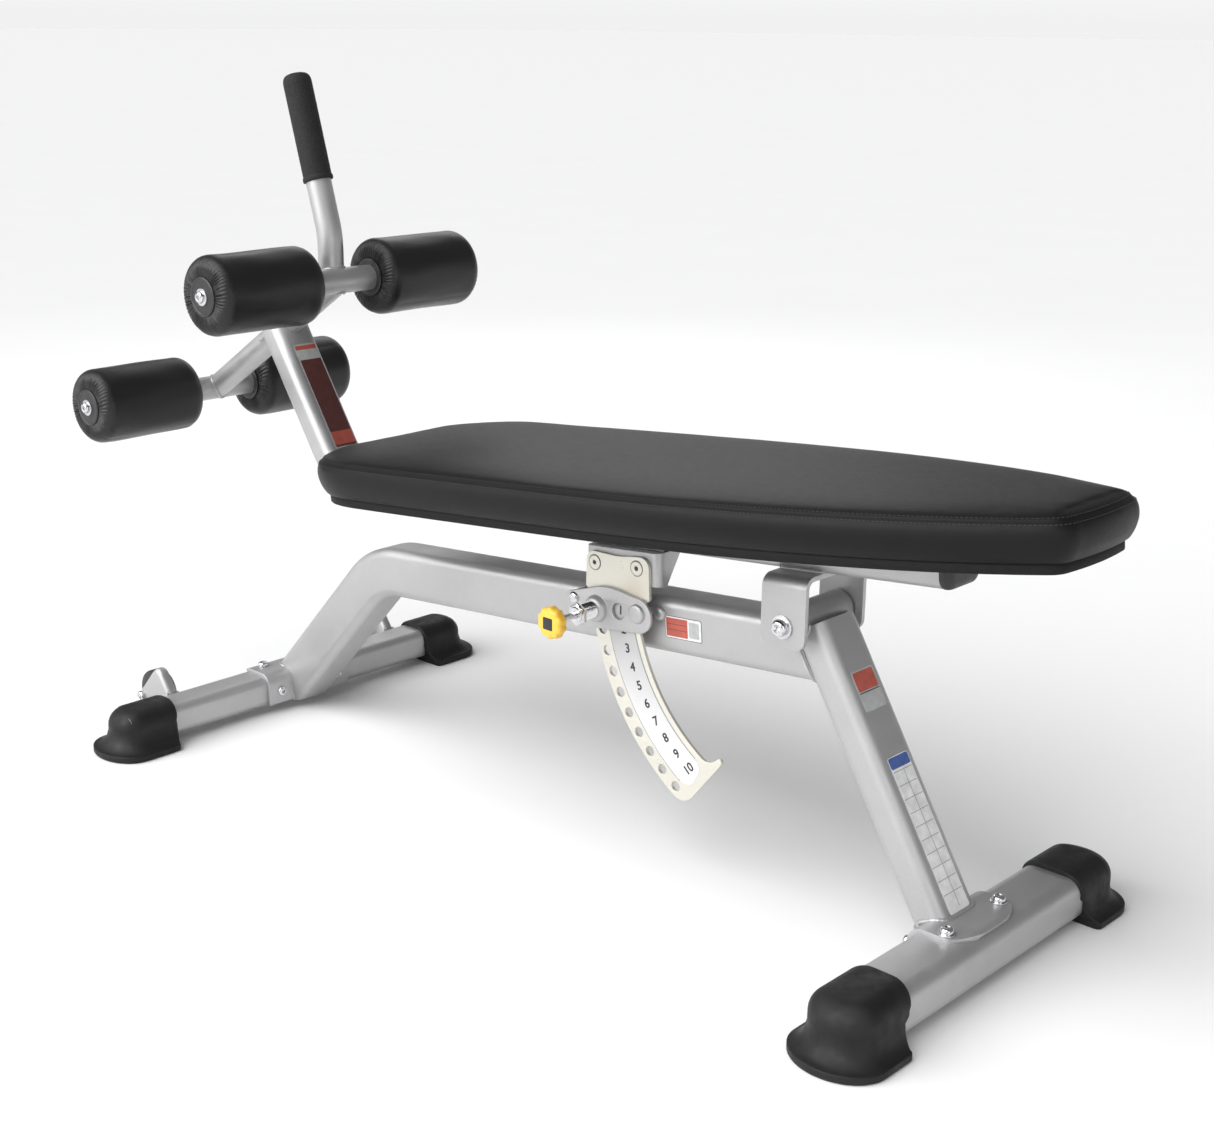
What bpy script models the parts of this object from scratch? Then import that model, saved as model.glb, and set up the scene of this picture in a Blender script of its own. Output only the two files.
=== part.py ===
"""Decline sit-up bench: a two-foot steel base, a padded bench that tilts on a
front pivot, an arc plate with ten holes and a pull pin that locks it, and four
foam leg rollers with a hand post.

Metres, +Z up, floor at Z = 0.  +X points to the head end of the pad, -Y is the
side that carries the arc plate and the pull pin.  Dimensions below are in
millimetres; X is measured from the middle of the front base tube and moved by
X_MID at the end, so that the origin is the middle of the whole bench.
"""

import math

import bmesh
import bpy
from mathutils import Matrix, Vector

# ---------------------------------------------------------------- dimensions
MM = 0.001
GAP = 0.3                      # clearance between neighbouring solids
X_MID = -702.5                 # middle of the bench's length, from the front tube

# base
FRONT_TUBE = dict(x=0.0, z=38.7, w=80.0, h=60.0, r=18.0, half=262.0)
REAR_TUBE = dict(x=-1297.0, z=36.8, w=60.0, h=50.0, r=14.0, half=330.0)
WALL = 3.0
SADDLE_T = 5.0

BEAM_W, BEAM_H, BEAM_R = 66.0, 74.5, 14.0
BEAM_X0, BEAM_Z0, BEAM_SLOPE = -402.5, 338.2, 0.0893
DESC_X0, DESC_Z0, DESC_DEG = -1156.3, 168.6, 46.5
BEAM_BEND_R = 125.0

LEG_W, LEG_H, LEG_R = 75.0, 50.0, 16.0
LEG_X0, LEG_Z0, LEG_SLOPE = -148.0, 245.9, 0.604     # X gained per mm going down

PIVOT_X, PIVOT_Z = -249.2, 389.5
BARREL_R, BARREL_HALF = 22.0, 52.0

# bench
RAIL_W, RAIL_H, RAIL_R = 68.0, 46.5, 15.0
RAIL_X0, RAIL_Z0, RAIL_SLOPE = -250.0, 475.3, 0.100
RAIL_FRONT = -54.0
POST_X0, POST_Z0, POST_LEAN = -1267.5, 586.5, 0.672   # X lost per mm going up
POST_BEND_R = 110.0

UPPER_X, UPPER_Z = -1152.0, 704.1
LOWER_X, LOWER_Z = -1477.3, 497.3
ROUND_R = 19.0                 # 38 mm round tube
ROLLER_R, ROLLER_IN, ROLLER_OUT = 58.3, 59.4, 241.2

ARC_R = 313.3                  # hole circle about the pivot
ARC_FIRST, ARC_STEP, ARC_HOLES = 189.05, 5.316, 10
ARC_HOLE_R, PIN_R = 7.0, 6.35
ARC_Y0, ARC_Y1 = -51.7, -46.7

PAD_SLOPE = 0.1
BOARD_Z0 = RAIL_Z0 + 0.5 * RAIL_H * math.hypot(1, RAIL_SLOPE) + GAP   # at RAIL_X0
BOARD_T = 12.0
PAD_T = 57.0
PAD_REAR, PAD_FRONT = -1040.0, 134.6

WHEEL_X, WHEEL_Z, WHEEL_R = -1396.0, 38.0, 36.5


# ------------------------------------------------------------------ helpers
def clear_scene():
    for obj in list(bpy.data.objects):
        bpy.data.objects.remove(obj, do_unlink=True)
    for mesh in list(bpy.data.meshes):
        bpy.data.meshes.remove(mesh)


MATERIALS = {}


def material(name, colour, metallic, roughness):
    mat = bpy.data.materials.new(name)
    mat.use_nodes = True
    bsdf = mat.node_tree.nodes["Principled BSDF"]
    bsdf.inputs["Base Color"].default_value = (*colour, 1.0)
    bsdf.inputs["Metallic"].default_value = metallic
    bsdf.inputs["Roughness"].default_value = roughness
    mat.diffuse_color = (*colour, 1.0)
    MATERIALS[name] = mat


def P(x, y, z):
    """A point in millimetres, X from the front tube, to metres in the part's frame."""
    return Vector(((x - X_MID) * MM, y * MM, z * MM))


def add_mesh(name, verts, faces, mat, smooth_deg=40.0, cutter=False, split=False):
    mesh = bpy.data.meshes.new(name)
    mesh.from_pydata([tuple(P(*v)) for v in verts], [], faces)
    bm = bmesh.new()
    bm.from_mesh(mesh)
    bmesh.ops.recalc_face_normals(bm, faces=bm.faces)
    if bm.calc_volume(signed=True) < 0:
        bmesh.ops.reverse_faces(bm, faces=bm.faces)
    if split:
        bmesh.ops.triangulate(bm, faces=bm.faces)
    bm.to_mesh(mesh)
    bm.free()
    obj = bpy.data.objects.new(name, mesh)
    bpy.context.scene.collection.objects.link(obj)
    if cutter:
        obj.hide_render = True
        obj.display_type = "WIRE"
    else:
        mesh.materials.append(MATERIALS[mat])
        mesh.shade_smooth()
        mesh.set_sharp_from_angle(angle=math.radians(smooth_deg))
    return obj


def cut(obj, cutter, operation="DIFFERENCE"):
    mod = obj.modifiers.new(cutter.name, "BOOLEAN")
    mod.operation = operation
    mod.solver = "EXACT"
    mod.object = cutter
    return obj


def set_origin(obj, x, y, z):
    """Moves an object's origin without moving its shape."""
    target = P(x, y, z)
    obj.data.transform(Matrix.Translation(obj.location - target))
    obj.location = target


def rounded_rect(w, h, r, n=3):
    """Points (a, b) of a rounded rectangle, counter-clockwise."""
    pts = []
    for ca, cb, start in (
        (w / 2 - r, h / 2 - r, 0), (-w / 2 + r, h / 2 - r, 90),
        (-w / 2 + r, -h / 2 + r, 180), (w / 2 - r, -h / 2 + r, 270),
    ):
        for k in range(n + 1):
            a = math.radians(start + 90.0 * k / n)
            pts.append((ca + r * math.cos(a), cb + r * math.sin(a)))
    return pts


def circle(r, n=24):
    return [(r * math.cos(2 * math.pi * k / n), r * math.sin(2 * math.pi * k / n)) for k in range(n)]


def ring_faces(base_a, base_b, n):
    return [(base_a + k, base_a + (k + 1) % n, base_b + (k + 1) % n, base_b + k) for k in range(n)]


def sweep(name, path, outer, inner, mat, normals=None, cutter=False):
    """A tube along a path of (x, z) points in the plane Y = 0.  outer and inner
    are closed outlines (a across, b in the plane); inner None makes it solid.
    normals gives the cut plane's (x, z) normal at the first and last point."""
    count = len(path)
    verts, faces = [], []
    tangents = []
    for k in range(count):
        p0, p1 = path[max(k - 1, 0)], path[min(k + 1, count - 1)]
        d = Vector((p1[0] - p0[0], p1[1] - p0[1]))
        tangents.append(d.normalized())
    outlines = [outer] + ([inner] if inner else [])
    for outline in outlines:
        for k, (px, pz) in enumerate(path):
            t = tangents[k]
            nrm = Vector((-t.y, t.x))
            plane = None
            if normals and k == 0 and normals[0]:
                plane = Vector(normals[0])
            if normals and k == count - 1 and normals[1]:
                plane = Vector(normals[1])
            for a, b in outline:
                q = Vector((px, pz)) + nrm * b
                if plane is not None:
                    s = -(q - Vector((px, pz))).dot(plane) / t.dot(plane)
                    q = q + t * s
                verts.append((q.x, a, q.y))
    n = len(outer)
    for k in range(count - 1):
        faces += ring_faces(k * n, (k + 1) * n, n)
    last = (count - 1) * n
    if inner:
        m = len(inner)
        base = count * n
        for k in range(count - 1):
            faces += [tuple(reversed(f)) for f in ring_faces(base + k * m, base + (k + 1) * m, m)]
        faces += [tuple(reversed(f)) for f in ring_faces(0, base, n)]
        faces += ring_faces(last, base + (count - 1) * m, n)
    else:
        faces.append(tuple(range(n - 1, -1, -1)))
        faces.append(tuple(last + k for k in range(n)))
    return add_mesh(name, verts, faces, mat, cutter=cutter)


def bent_path(p0, corner, p1, radius, steps=8):
    """Straight, a round bend of the given centre-line radius, straight."""
    a = Vector((p0[0] - corner[0], p0[1] - corner[1])).normalized()
    b = Vector((p1[0] - corner[0], p1[1] - corner[1])).normalized()
    half = 0.5 * math.acos(max(-1.0, min(1.0, a.dot(b))))
    length = radius / math.tan(half)
    mid = (a + b).normalized()
    centre = Vector(corner) + mid * (radius / math.sin(half))
    start = Vector(corner) + a * length
    end = Vector(corner) + b * length
    v0, v1 = start - centre, end - centre
    a0 = math.atan2(v0.y, v0.x)
    turn = math.atan2(v0.x * v1.y - v0.y * v1.x, v0.dot(v1))
    pts = [tuple(p0)]
    for k in range(steps + 1):
        ang = a0 + turn * k / steps
        pts.append((centre.x + radius * math.cos(ang), centre.y + radius * math.sin(ang)))
    pts.append(tuple(p1))
    return pts


def prism(name, outline, y0, y1, mat="steel_silver", cutter=False, axis="Y"):
    """A closed outline extruded: (x, z) along Y, or (x, y) along Z."""
    n = len(outline)
    if axis == "Y":
        verts = [(x, y0, z) for x, z in outline] + [(x, y1, z) for x, z in outline]
    else:
        verts = [(x, y, y0) for x, y in outline] + [(x, y, y1) for x, y in outline]
    faces = [tuple(range(n)), tuple(range(2 * n - 1, n - 1, -1))] + ring_faces(0, n, n)
    return add_mesh(name, verts, faces, mat, cutter=cutter)


def plate(name, outline, holes, y0, y1, mat):
    """A flat plate in the XZ plane between Y = y0 and y1, with round holes
    given as (x, z, radius, sides)."""
    curve = bpy.data.curves.new(name, "CURVE")
    curve.dimensions = "2D"
    curve.fill_mode = "BOTH"
    curve.extrude = 0.5 * abs(y1 - y0) * MM
    loops = [outline]
    for hx, hz, hr, sides in holes:
        loops.append([(hx + a, hz + b) for a, b in circle(hr, sides)])
    for loop in loops:
        spline = curve.splines.new("POLY")
        spline.points.add(len(loop) - 1)
        for k, (x, z) in enumerate(loop):
            spline.points[k].co = ((x - X_MID) * MM, z * MM, 0.0, 1.0)
        spline.use_cyclic_u = True
    obj = bpy.data.objects.new(name + "_outline", curve)
    bpy.context.scene.collection.objects.link(obj)
    obj.rotation_euler = (math.radians(90), 0, 0)
    obj.location = (0, 0.5 * (y0 + y1) * MM, 0)
    bpy.context.view_layer.update()
    graph = bpy.context.evaluated_depsgraph_get()
    mesh = bpy.data.meshes.new_from_object(obj.evaluated_get(graph))
    mesh.transform(obj.matrix_world)
    bpy.data.objects.remove(obj, do_unlink=True)
    bm = bmesh.new()
    bm.from_mesh(mesh)
    bmesh.ops.remove_doubles(bm, verts=bm.verts, dist=1e-6)
    bmesh.ops.recalc_face_normals(bm, faces=bm.faces)
    if bm.calc_volume(signed=True) < 0:
        bmesh.ops.reverse_faces(bm, faces=bm.faces)
    bm.to_mesh(mesh)
    bm.free()
    mesh.name = name
    mesh.materials.clear()
    mesh.materials.append(MATERIALS[mat])
    mesh.shade_smooth()
    mesh.set_sharp_from_angle(angle=math.radians(40))
    made = bpy.data.objects.new(name, mesh)
    bpy.context.scene.collection.objects.link(made)
    return made


def hex_radius(across_flats, angle):
    step = math.radians(60)
    local = (angle % step) - step / 2
    return 0.5 * across_flats / math.cos(local)


def turned(name, profile, centre, direction, mat, n=24, cutter=False, smooth_deg=40.0):
    """A turned piece: profile is a closed or axis-ended list of (radius, along).
    A radius given as ("hex", flats) makes that ring hexagonal.  An end on the
    axis is closed with a fan; a closed loop (first point repeated) is a ring."""
    d = Vector(direction).normalized()
    u = Vector((0, 0, 1)) if abs(d.z) < 0.9 else Vector((1, 0, 0))
    u = (u - d * u.dot(d)).normalized()
    w = d.cross(u)
    c = Vector(centre)
    loop = profile[0] == profile[-1]
    rows = profile[:-1] if loop else profile
    verts, faces, index = [], [], []
    for r, along in rows:
        if r == 0:
            index.append((len(verts), 1))
            verts.append(tuple(c + d * along))
            continue
        index.append((len(verts), n))
        for k in range(n):
            ang = 2 * math.pi * k / n
            rr = hex_radius(r[1], ang) if isinstance(r, tuple) else r
            verts.append(tuple(c + d * along + u * (rr * math.cos(ang)) + w * (rr * math.sin(ang))))
    pairs = list(zip(index[:-1], index[1:]))
    if loop:
        pairs.append((index[-1], index[0]))
    for (a, na), (b, nb) in pairs:
        if na == 1 and nb == 1:
            continue
        if na == 1:
            faces += [(a, b + k, b + (k + 1) % n) for k in range(n)]
        elif nb == 1:
            faces += [(a + (k + 1) % n, a + k, b) for k in range(n)]
        else:
            faces += ring_faces(a, b, n)
    return add_mesh(name, verts, faces, mat, cutter=cutter, smooth_deg=smooth_deg)


def button_bolt(name, centre, direction, head_r, head_h, shank_r, shank_l, mat="chrome", washer=None):
    """A round-head socket bolt: head out along direction, shank back into the work."""
    socket = head_r * 0.42
    rows = [(0, head_h * 0.35), (("hex", 2 * socket * 0.9), head_h * 0.35), (("hex", 2 * socket * 0.9), head_h),
            (head_r * 0.62, head_h), (head_r * 0.88, head_h * 0.72), (head_r, head_h * 0.3)]
    if washer:
        wr, wt = washer
        rows += [(head_r, wt * 0.99), (wr * 0.96, wt), (wr, wt * 0.8), (wr, 0.0)]
    else:
        rows += [(head_r, 0.0)]
    rows += [(shank_r, 0.0), (shank_r, -shank_l), (0, -shank_l)]
    return turned(name, rows, centre, direction, mat, n=12)


def hull(points):
    """Convex outline of points, counter-clockwise."""
    pts = sorted(set((round(x, 5), round(y, 5)) for x, y in points))

    def half(seq):
        out = []
        for p in seq:
            while len(out) > 1 and ((out[-1][0] - out[-2][0]) * (p[1] - out[-2][1])
                                    - (out[-1][1] - out[-2][1]) * (p[0] - out[-2][0])) <= 1e-6:
                out.pop()
            out.append(p)
        return out[:-1]

    return half(pts) + half(pts[::-1])


def rounded_polygon(corners, n=5):
    """Corners (x, z, radius) joined by straight edges, each corner rounded."""
    pts = []
    m = len(corners)
    for k in range(m):
        x, z, r = corners[k]
        if r <= 0:
            pts.append((x, z))
            continue
        p = Vector((x, z))
        a = (Vector(corners[k - 1][:2]) - p).normalized()
        b = (Vector(corners[(k + 1) % m][:2]) - p).normalized()
        half = 0.5 * math.acos(max(-1.0, min(1.0, a.dot(b))))
        length = r / math.tan(half)
        centre = p + (a + b).normalized() * (r / math.sin(half))
        v0, v1 = p + a * length - centre, p + b * length - centre
        a0 = math.atan2(v0.y, v0.x)
        turn = math.atan2(v0.x * v1.y - v0.y * v1.x, v0.dot(v1))
        for s in range(n + 1):
            ang = a0 + turn * s / n
            pts.append((centre.x + r * math.cos(ang), centre.y + r * math.sin(ang)))
    return pts


def rect_ring(tube, grow, n=3):
    """Outline (x, z) of a base tube's section, grown by a distance."""
    return [(tube["x"] + a, tube["z"] + b) for a, b in
            rounded_rect(tube["w"] + 2 * grow, tube["h"] + 2 * grow, tube["r"] + grow, n)]


clear_scene()
material("steel_silver", (0.62, 0.63, 0.64), 0.7, 0.35)
material("chrome", (0.80, 0.80, 0.82), 1.0, 0.12)
material("nickel_plate", (0.78, 0.76, 0.70), 0.8, 0.30)
material("rubber_black", (0.030, 0.030, 0.032), 0.0, 0.70)
material("grip_rubber", (0.018, 0.018, 0.018), 0.0, 0.80)
material("plastic_black", (0.022, 0.022, 0.023), 0.0, 0.45)
material("plastic_yellow", (0.90, 0.55, 0.05), 0.0, 0.40)
material("vinyl_black", (0.020, 0.020, 0.021), 0.0, 0.42)
material("plywood_black", (0.045, 0.042, 0.040), 0.0, 0.65)
material("spring_steel", (0.45, 0.45, 0.46), 1.0, 0.35)
material("bronze", (0.55, 0.38, 0.18), 1.0, 0.40)


# --------------------------------------------------------------- base tubes
def base_tube(name, tube):
    outer = rounded_rect(tube["w"], tube["h"], tube["r"])
    inner = rounded_rect(tube["w"] - 2 * WALL, tube["h"] - 2 * WALL, tube["r"] - WALL)
    n = len(outer)
    verts, faces = [], []
    for outline in (outer, inner):
        for y in (-tube["half"], tube["half"]):
            verts += [(tube["x"] + a, y, tube["z"] + b) for a, b in outline]
    faces += ring_faces(0, n, n)
    faces += [tuple(reversed(f)) for f in ring_faces(2 * n, 3 * n, n)]
    faces += [tuple(reversed(f)) for f in ring_faces(0, 2 * n, n)]
    faces += ring_faces(n, 3 * n, n)
    return add_mesh(name, verts, faces, "steel_silver")


base_tube("front_base_tube", FRONT_TUBE)
base_tube("rear_base_tube", REAR_TUBE)


def foot(name, tube, side, inner_y, centre_y, half_w, end_b, hood_w, hood_in, hood_c, hood_b, top):
    """A moulded foot: a wide D-shaped sole, a waist, and a hood over the tube's end."""
    levels = [  # z, half width, inner y, ellipse centre y, ellipse depth, inner corner radius
        (0.0, half_w - 2.0, inner_y + 1.0, centre_y, end_b - 2.0, 8.0),
        (3.0, half_w, inner_y, centre_y, end_b, 8.0),
        (10.0, half_w, inner_y, centre_y, end_b, 8.0),
        (13.0, half_w - 2.5, inner_y - 0.5, centre_y, end_b - 3.0, 8.0),
        (20.0, half_w - 0.45 * (half_w - hood_w), inner_y - 3.0, centre_y - 2.0, end_b - 0.45 * (centre_y + end_b - hood_c - hood_b) , 8.0),
        (30.0, hood_w + 1.0, inner_y - 8.0, hood_c, hood_b + 1.0, 8.0),
        (0.62 * top, hood_w, hood_in + 0.25 * (inner_y - hood_in), hood_c, hood_b, 8.0),
        (top - 12.0, hood_w - 2.0, hood_in + 2.0, hood_c, hood_b - 3.0, 8.0),
        (top - 4.0, hood_w - 7.0, hood_in, hood_c, hood_b - 9.0, 8.0),
        (top, hood_w - 15.0, hood_in + 0.5, hood_c, hood_b - 19.0, 6.0),
    ]
    verts, faces = [], []
    n_end, n_in = 13, 4
    count = n_end + 2 * n_in
    for z, a, yi, yc, b, rc in levels:
        row = []
        for k in range(n_end):
            ang = math.pi * k / (n_end - 1)
            row.append((a * math.cos(ang), yc + b * math.sin(ang)))
        for k in range(n_in):
            ang = math.radians(180 + 90 * k / (n_in - 1))
            row.append((-a + rc + rc * math.cos(ang), yi + rc + rc * math.sin(ang)))
        for k in range(n_in):
            ang = math.radians(270 + 90 * k / (n_in - 1))
            row.append((a - rc + rc * math.cos(ang), yi + rc + rc * math.sin(ang)))
        verts += [(tube["x"] + x, side * y, z) for x, y in row]
    for k in range(len(levels) - 1):
        faces += ring_faces(k * count, (k + 1) * count, count)
    faces.append(tuple(range(count)))
    last = (len(levels) - 1) * count
    faces.append(tuple(last + k for k in range(count)))
    body = add_mesh(name, verts, faces, "rubber_black", smooth_deg=50, split=True)
    ring = rect_ring(tube, GAP)
    end = tube["half"] + 1.5
    y0, y1 = (0.0, end) if side > 0 else (-end, 0.0)
    pocket = prism(name + "_pocket", ring, y0, y1, cutter=True)
    return cut(body, pocket)


for label, side in (("right", -1), ("left", 1)):
    foot("front_foot_" + label, FRONT_TUBE, side, 203.0, 256.0, 62.0, 50.0, 45.0, 180.0, 247.0, 36.0, 75.5)
    foot("rear_foot_" + label, REAR_TUBE, side, 262.0, 325.0, 58.0, 44.0, 38.0, 250.0, 312.0, 34.0, 69.0)


# --------------------------------------------------------- saddles and bolts
def saddle_band(tube, rear_z, front, n=6):
    """Strip (x, z) outline of a plate bent over a tube, from rear_z on its back
    face over the top, to front = ("top", degrees) or ("face", z)."""
    cx0, cx1 = tube["x"] - tube["w"] / 2 + tube["r"], tube["x"] + tube["w"] / 2 - tube["r"]
    cz = tube["z"] + tube["h"] / 2 - tube["r"]
    lines = []
    for grow in (GAP, GAP + SADDLE_T):
        r = tube["r"] + grow
        line = []
        if rear_z is not None:
            line.append((cx0 - r, rear_z))
            line += [(cx0 + r * math.cos(math.radians(180 - 90 * k / n)), cz + r * math.sin(math.radians(180 - 90 * k / n))) for k in range(n + 1)]
        else:
            line.append((cx0 - 0.55 * r, cz + math.sqrt(1 - 0.55 ** 2) * r))
            line.append((cx0 - 0.25 * r, cz + math.sqrt(1 - 0.25 ** 2) * r))
            line.append((cx0, cz + r))
        stop = front[1] if front[0] == "top" else 0.0
        line += [(cx1 + r * math.cos(math.radians(90 - (90 - stop) * k / n)), cz + r * math.sin(math.radians(90 - (90 - stop) * k / n))) for k in range(n + 1)]
        if front[0] == "face":
            line.append((cx1 + r, front[1]))
        lines.append(line)
    return lines[0] + lines[1][::-1]


FS_HALF = 68.0
front_saddle = prism("front_saddle", saddle_band(FRONT_TUBE, 30.0, ("top", 68.0)), -FS_HALF, FS_HALF)
plan = [(-60.0, -FS_HALF + 8), (-52.0, -FS_HALF + 1.0)]
plan += [(6.0 + 26.0 * math.cos(math.radians(a)), (FS_HALF - 1.0) * math.sin(math.radians(a))) for a in range(-90, 91, 12)]
plan += [(-52.0, FS_HALF - 1.0), (-60.0, FS_HALF - 8)]
front_shape = prism("front_saddle_outline", plan, 10.0, 95.0, cutter=True, axis="Z")
cut(front_saddle, front_shape, "INTERSECT")

RS_HALF = 80.0
rear_saddle = prism("rear_saddle", saddle_band(REAR_TUBE, None, ("face", 16.0)), -RS_HALF, RS_HALF)

top_f = FRONT_TUBE["z"] + FRONT_TUBE["h"] / 2 + GAP + SADDLE_T
top_r = REAR_TUBE["z"] + REAR_TUBE["h"] / 2 + GAP + SADDLE_T
face_r = REAR_TUBE["x"] + REAR_TUBE["w"] / 2 + GAP + SADDLE_T
back_f = FRONT_TUBE["x"] - FRONT_TUBE["w"] / 2 - GAP - SADDLE_T
drill = []
for label, side in (("right", -1), ("left", 1)):
    y = side * 56.0
    button_bolt("front_saddle_bolt_" + label, (2.0, y, top_f + GAP), (0, 0, 1), 8.5, 6.5, 4.7, 14.0, washer=(10.5, 2.0))
    button_bolt("front_saddle_rear_bolt_" + label, (back_f - GAP, y, 46.0), (-1, 0, 0), 8.5, 6.5, 4.7, 14.0, washer=(10.5, 2.0))
    button_bolt("rear_saddle_top_bolt_" + label, (REAR_TUBE["x"] - 12.0, y, top_r + GAP), (0, 0, 1), 8.5, 6.5, 4.7, 14.0)
    button_bolt("rear_saddle_front_bolt_" + label, (face_r + GAP, y, 36.0), (1, 0, 0), 8.0, 5.5, 4.7, 14.0)
    for tag, piece_names, centre, d in (
        ("a", ("front_base_tube", "front_saddle"), (2.0, y, top_f - 20.0), (0, 0, 1)),
        ("b", ("front_base_tube", "front_saddle"), (back_f + 20.0, y, 46.0), (-1, 0, 0)),
        ("c", ("rear_base_tube", "rear_saddle"), (REAR_TUBE["x"] - 12.0, y, top_r - 20.0), (0, 0, 1)),
        ("d", ("rear_base_tube", "rear_saddle"), (face_r - 20.0, y, 36.0), (1, 0, 0)),
    ):
        tool = turned(f"drill_{tag}_{label}", [(0, 0), (5.2, 0), (5.2, 30.0), (0, 30.0)], centre, d, "chrome", n=16, cutter=True)
        for piece in piece_names:
            cut(bpy.data.objects[piece], tool)

# ----------------------------------------------------------------- main beam
tan_d = math.tan(math.radians(DESC_DEG))
corner_x = (BEAM_Z0 - BEAM_SLOPE * BEAM_X0 - DESC_Z0 + tan_d * DESC_X0) / (tan_d - BEAM_SLOPE)
corner = (corner_x, BEAM_Z0 + BEAM_SLOPE * (corner_x - BEAM_X0))
low = (DESC_X0 - (DESC_Z0 + 25.0) / tan_d, -25.0)
leg_dir = Vector((LEG_SLOPE, -1.0)).normalized()
leg_nrm = Vector((1.0, LEG_SLOPE)).normalized()          # out of the leg's front face
# the beam stops against the leg's back face
back_pt = Vector((LEG_X0, LEG_Z0)) - leg_nrm * (LEG_H / 2 + GAP)
t_beam = Vector((1.0, BEAM_SLOPE))
s = (back_pt - Vector((BEAM_X0, BEAM_Z0))).dot(leg_nrm) / t_beam.dot(leg_nrm)
beam_end = (BEAM_X0 + s, BEAM_Z0 + s * BEAM_SLOPE)
beam = sweep(
    "main_beam", bent_path(beam_end, corner, low, BEAM_BEND_R, 10),
    rounded_rect(BEAM_W, BEAM_H, BEAM_R), rounded_rect(BEAM_W - 2 * WALL, BEAM_H - 2 * WALL, BEAM_R - WALL),
    "steel_silver", normals=((leg_nrm.x, leg_nrm.y), None))
rear_top = top_r + GAP
rear_face = face_r + GAP
rr = REAR_TUBE["r"] + SADDLE_T + 2 * GAP
arc = [(rear_face - rr + rr * math.cos(math.radians(a)), rear_top - rr + rr * math.sin(math.radians(a))) for a in range(0, 91, 15)]
cut(beam, prism("beam_foot_cut", [(-1500.0, -80.0), (-1100.0, -80.0), (-1100.0, 14.0), (rear_face, 14.0)] + arc + [(-1500.0, rear_top)], -60, 60, cutter=True))
barrel_tool = turned("barrel_clearance", [(0, -70), (BARREL_R + GAP, -70), (BARREL_R + GAP, 70), (0, 70)], (PIVOT_X, 0, PIVOT_Z), (0, 1, 0), "chrome", n=24, cutter=True)
cut(beam, barrel_tool)

# ---------------------------------------------------------------- front leg
leg_top = Vector((LEG_X0 - LEG_SLOPE * (386.0 - LEG_Z0), 386.0))
leg_low = Vector((LEG_X0 + LEG_SLOPE * (LEG_Z0 - 20.0), 20.0))
leg = sweep("front_leg", [tuple(leg_top), tuple(leg_low)], rounded_rect(LEG_W, LEG_H, LEG_R),
            rounded_rect(LEG_W - 2 * WALL, LEG_H - 2 * WALL, LEG_R - WALL), "steel_silver")
cut(leg, barrel_tool)
fx, fz = FRONT_TUBE["x"], FRONT_TUBE["z"]
fr = FRONT_TUBE["r"] + SADDLE_T + 2 * GAP
left = fx - FRONT_TUBE["w"] / 2 - SADDLE_T - 2 * GAP
ftop = top_f + GAP
arc = [(left + fr + fr * math.cos(math.radians(a)), ftop - fr + fr * math.sin(math.radians(a))) for a in range(180, 89, -15)]
cut(leg, prism("leg_foot_cut", [(-140.0, -60.0), (-140.0, 50.0), (left, 50.0)] + arc + [(90.0, ftop), (90.0, -60.0)], -60, 60, cutter=True))

# -------------------------------------------------------------- pivot barrel
turned("pivot_barrel", [(14.2, -BARREL_HALF), (BARREL_R - 1, -BARREL_HALF), (BARREL_R, -BARREL_HALF + 1), (BARREL_R, BARREL_HALF - 1),
                        (BARREL_R - 1, BARREL_HALF), (14.2, BARREL_HALF), (14.2, -BARREL_HALF)],
       (PIVOT_X, 0, PIVOT_Z), (0, 1, 0), "steel_silver", n=24)
for label, side in (("right", -1), ("left", 1)):
    turned("pivot_bush_" + label,
           [(8.35, 0), (19.0, 0), (19.0, -2.2), (13.9, -2.2), (13.9, -27.0), (8.35, -27.0), (8.35, 0)],
           (PIVOT_X, side * (BARREL_HALF + GAP + 2.2), PIVOT_Z), (0, side, 0), "bronze", n=20)

# -------------------------------------------------------------- wheel mounts
for label, side in (("right", -1), ("left", 1)):
    pts = [(-1321.0, 52.0), (-1321.0, 62.0), (-1341.0, 90.0), (-1347.0, 94.5), (-1355.0, 95.5), (-1362.0, 91.0)]
    pts += [(WHEEL_X + 11 * math.cos(math.radians(a)), WHEEL_Z + 11 * math.sin(math.radians(a))) for a in range(135, 271, 15)]
    pts += [(-1335.0, 22.0), (-1320.0, 30.0)]
    y0, y1 = sorted((side * 211.0, side * 230.0))
    bracket = prism("wheel_bracket_" + label, pts, y0, y1)
    cut(bracket, prism("wheel_bracket_cut_" + label, rect_ring(REAR_TUBE, GAP), -250, 250, cutter=True))
    cut(bracket, turned("axle_drill_" + label, [(0, -260), (5.4, -260), (5.4, 260), (0, 260)], (WHEEL_X, 0, WHEEL_Z), (0, 1, 0), "chrome", n=20, cutter=True))
    wheel = turned("wheel_" + label,
                   [(5.3, -11), (12, -11), (12, -8), (20, -8), (22, -11), (32.5, -11), (WHEEL_R - 1, -9.5), (WHEEL_R, -6), (WHEEL_R, 6),
                    (WHEEL_R - 1, 9.5), (32.5, 11), (22, 11), (20, 8), (12, 8), (12, 11), (5.3, 11), (5.3, -11)],
                   (WHEEL_X, side * 198.0, WHEEL_Z), (0, side, 0), "plastic_black", n=24)
    set_origin(wheel, WHEEL_X, side * 198.0, WHEEL_Z)
    button_bolt("wheel_bolt_" + label, (WHEEL_X, side * (230.0 + GAP), WHEEL_Z), (0, side, 0), 9.0, 5.5, 5.0, 45.0)

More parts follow.
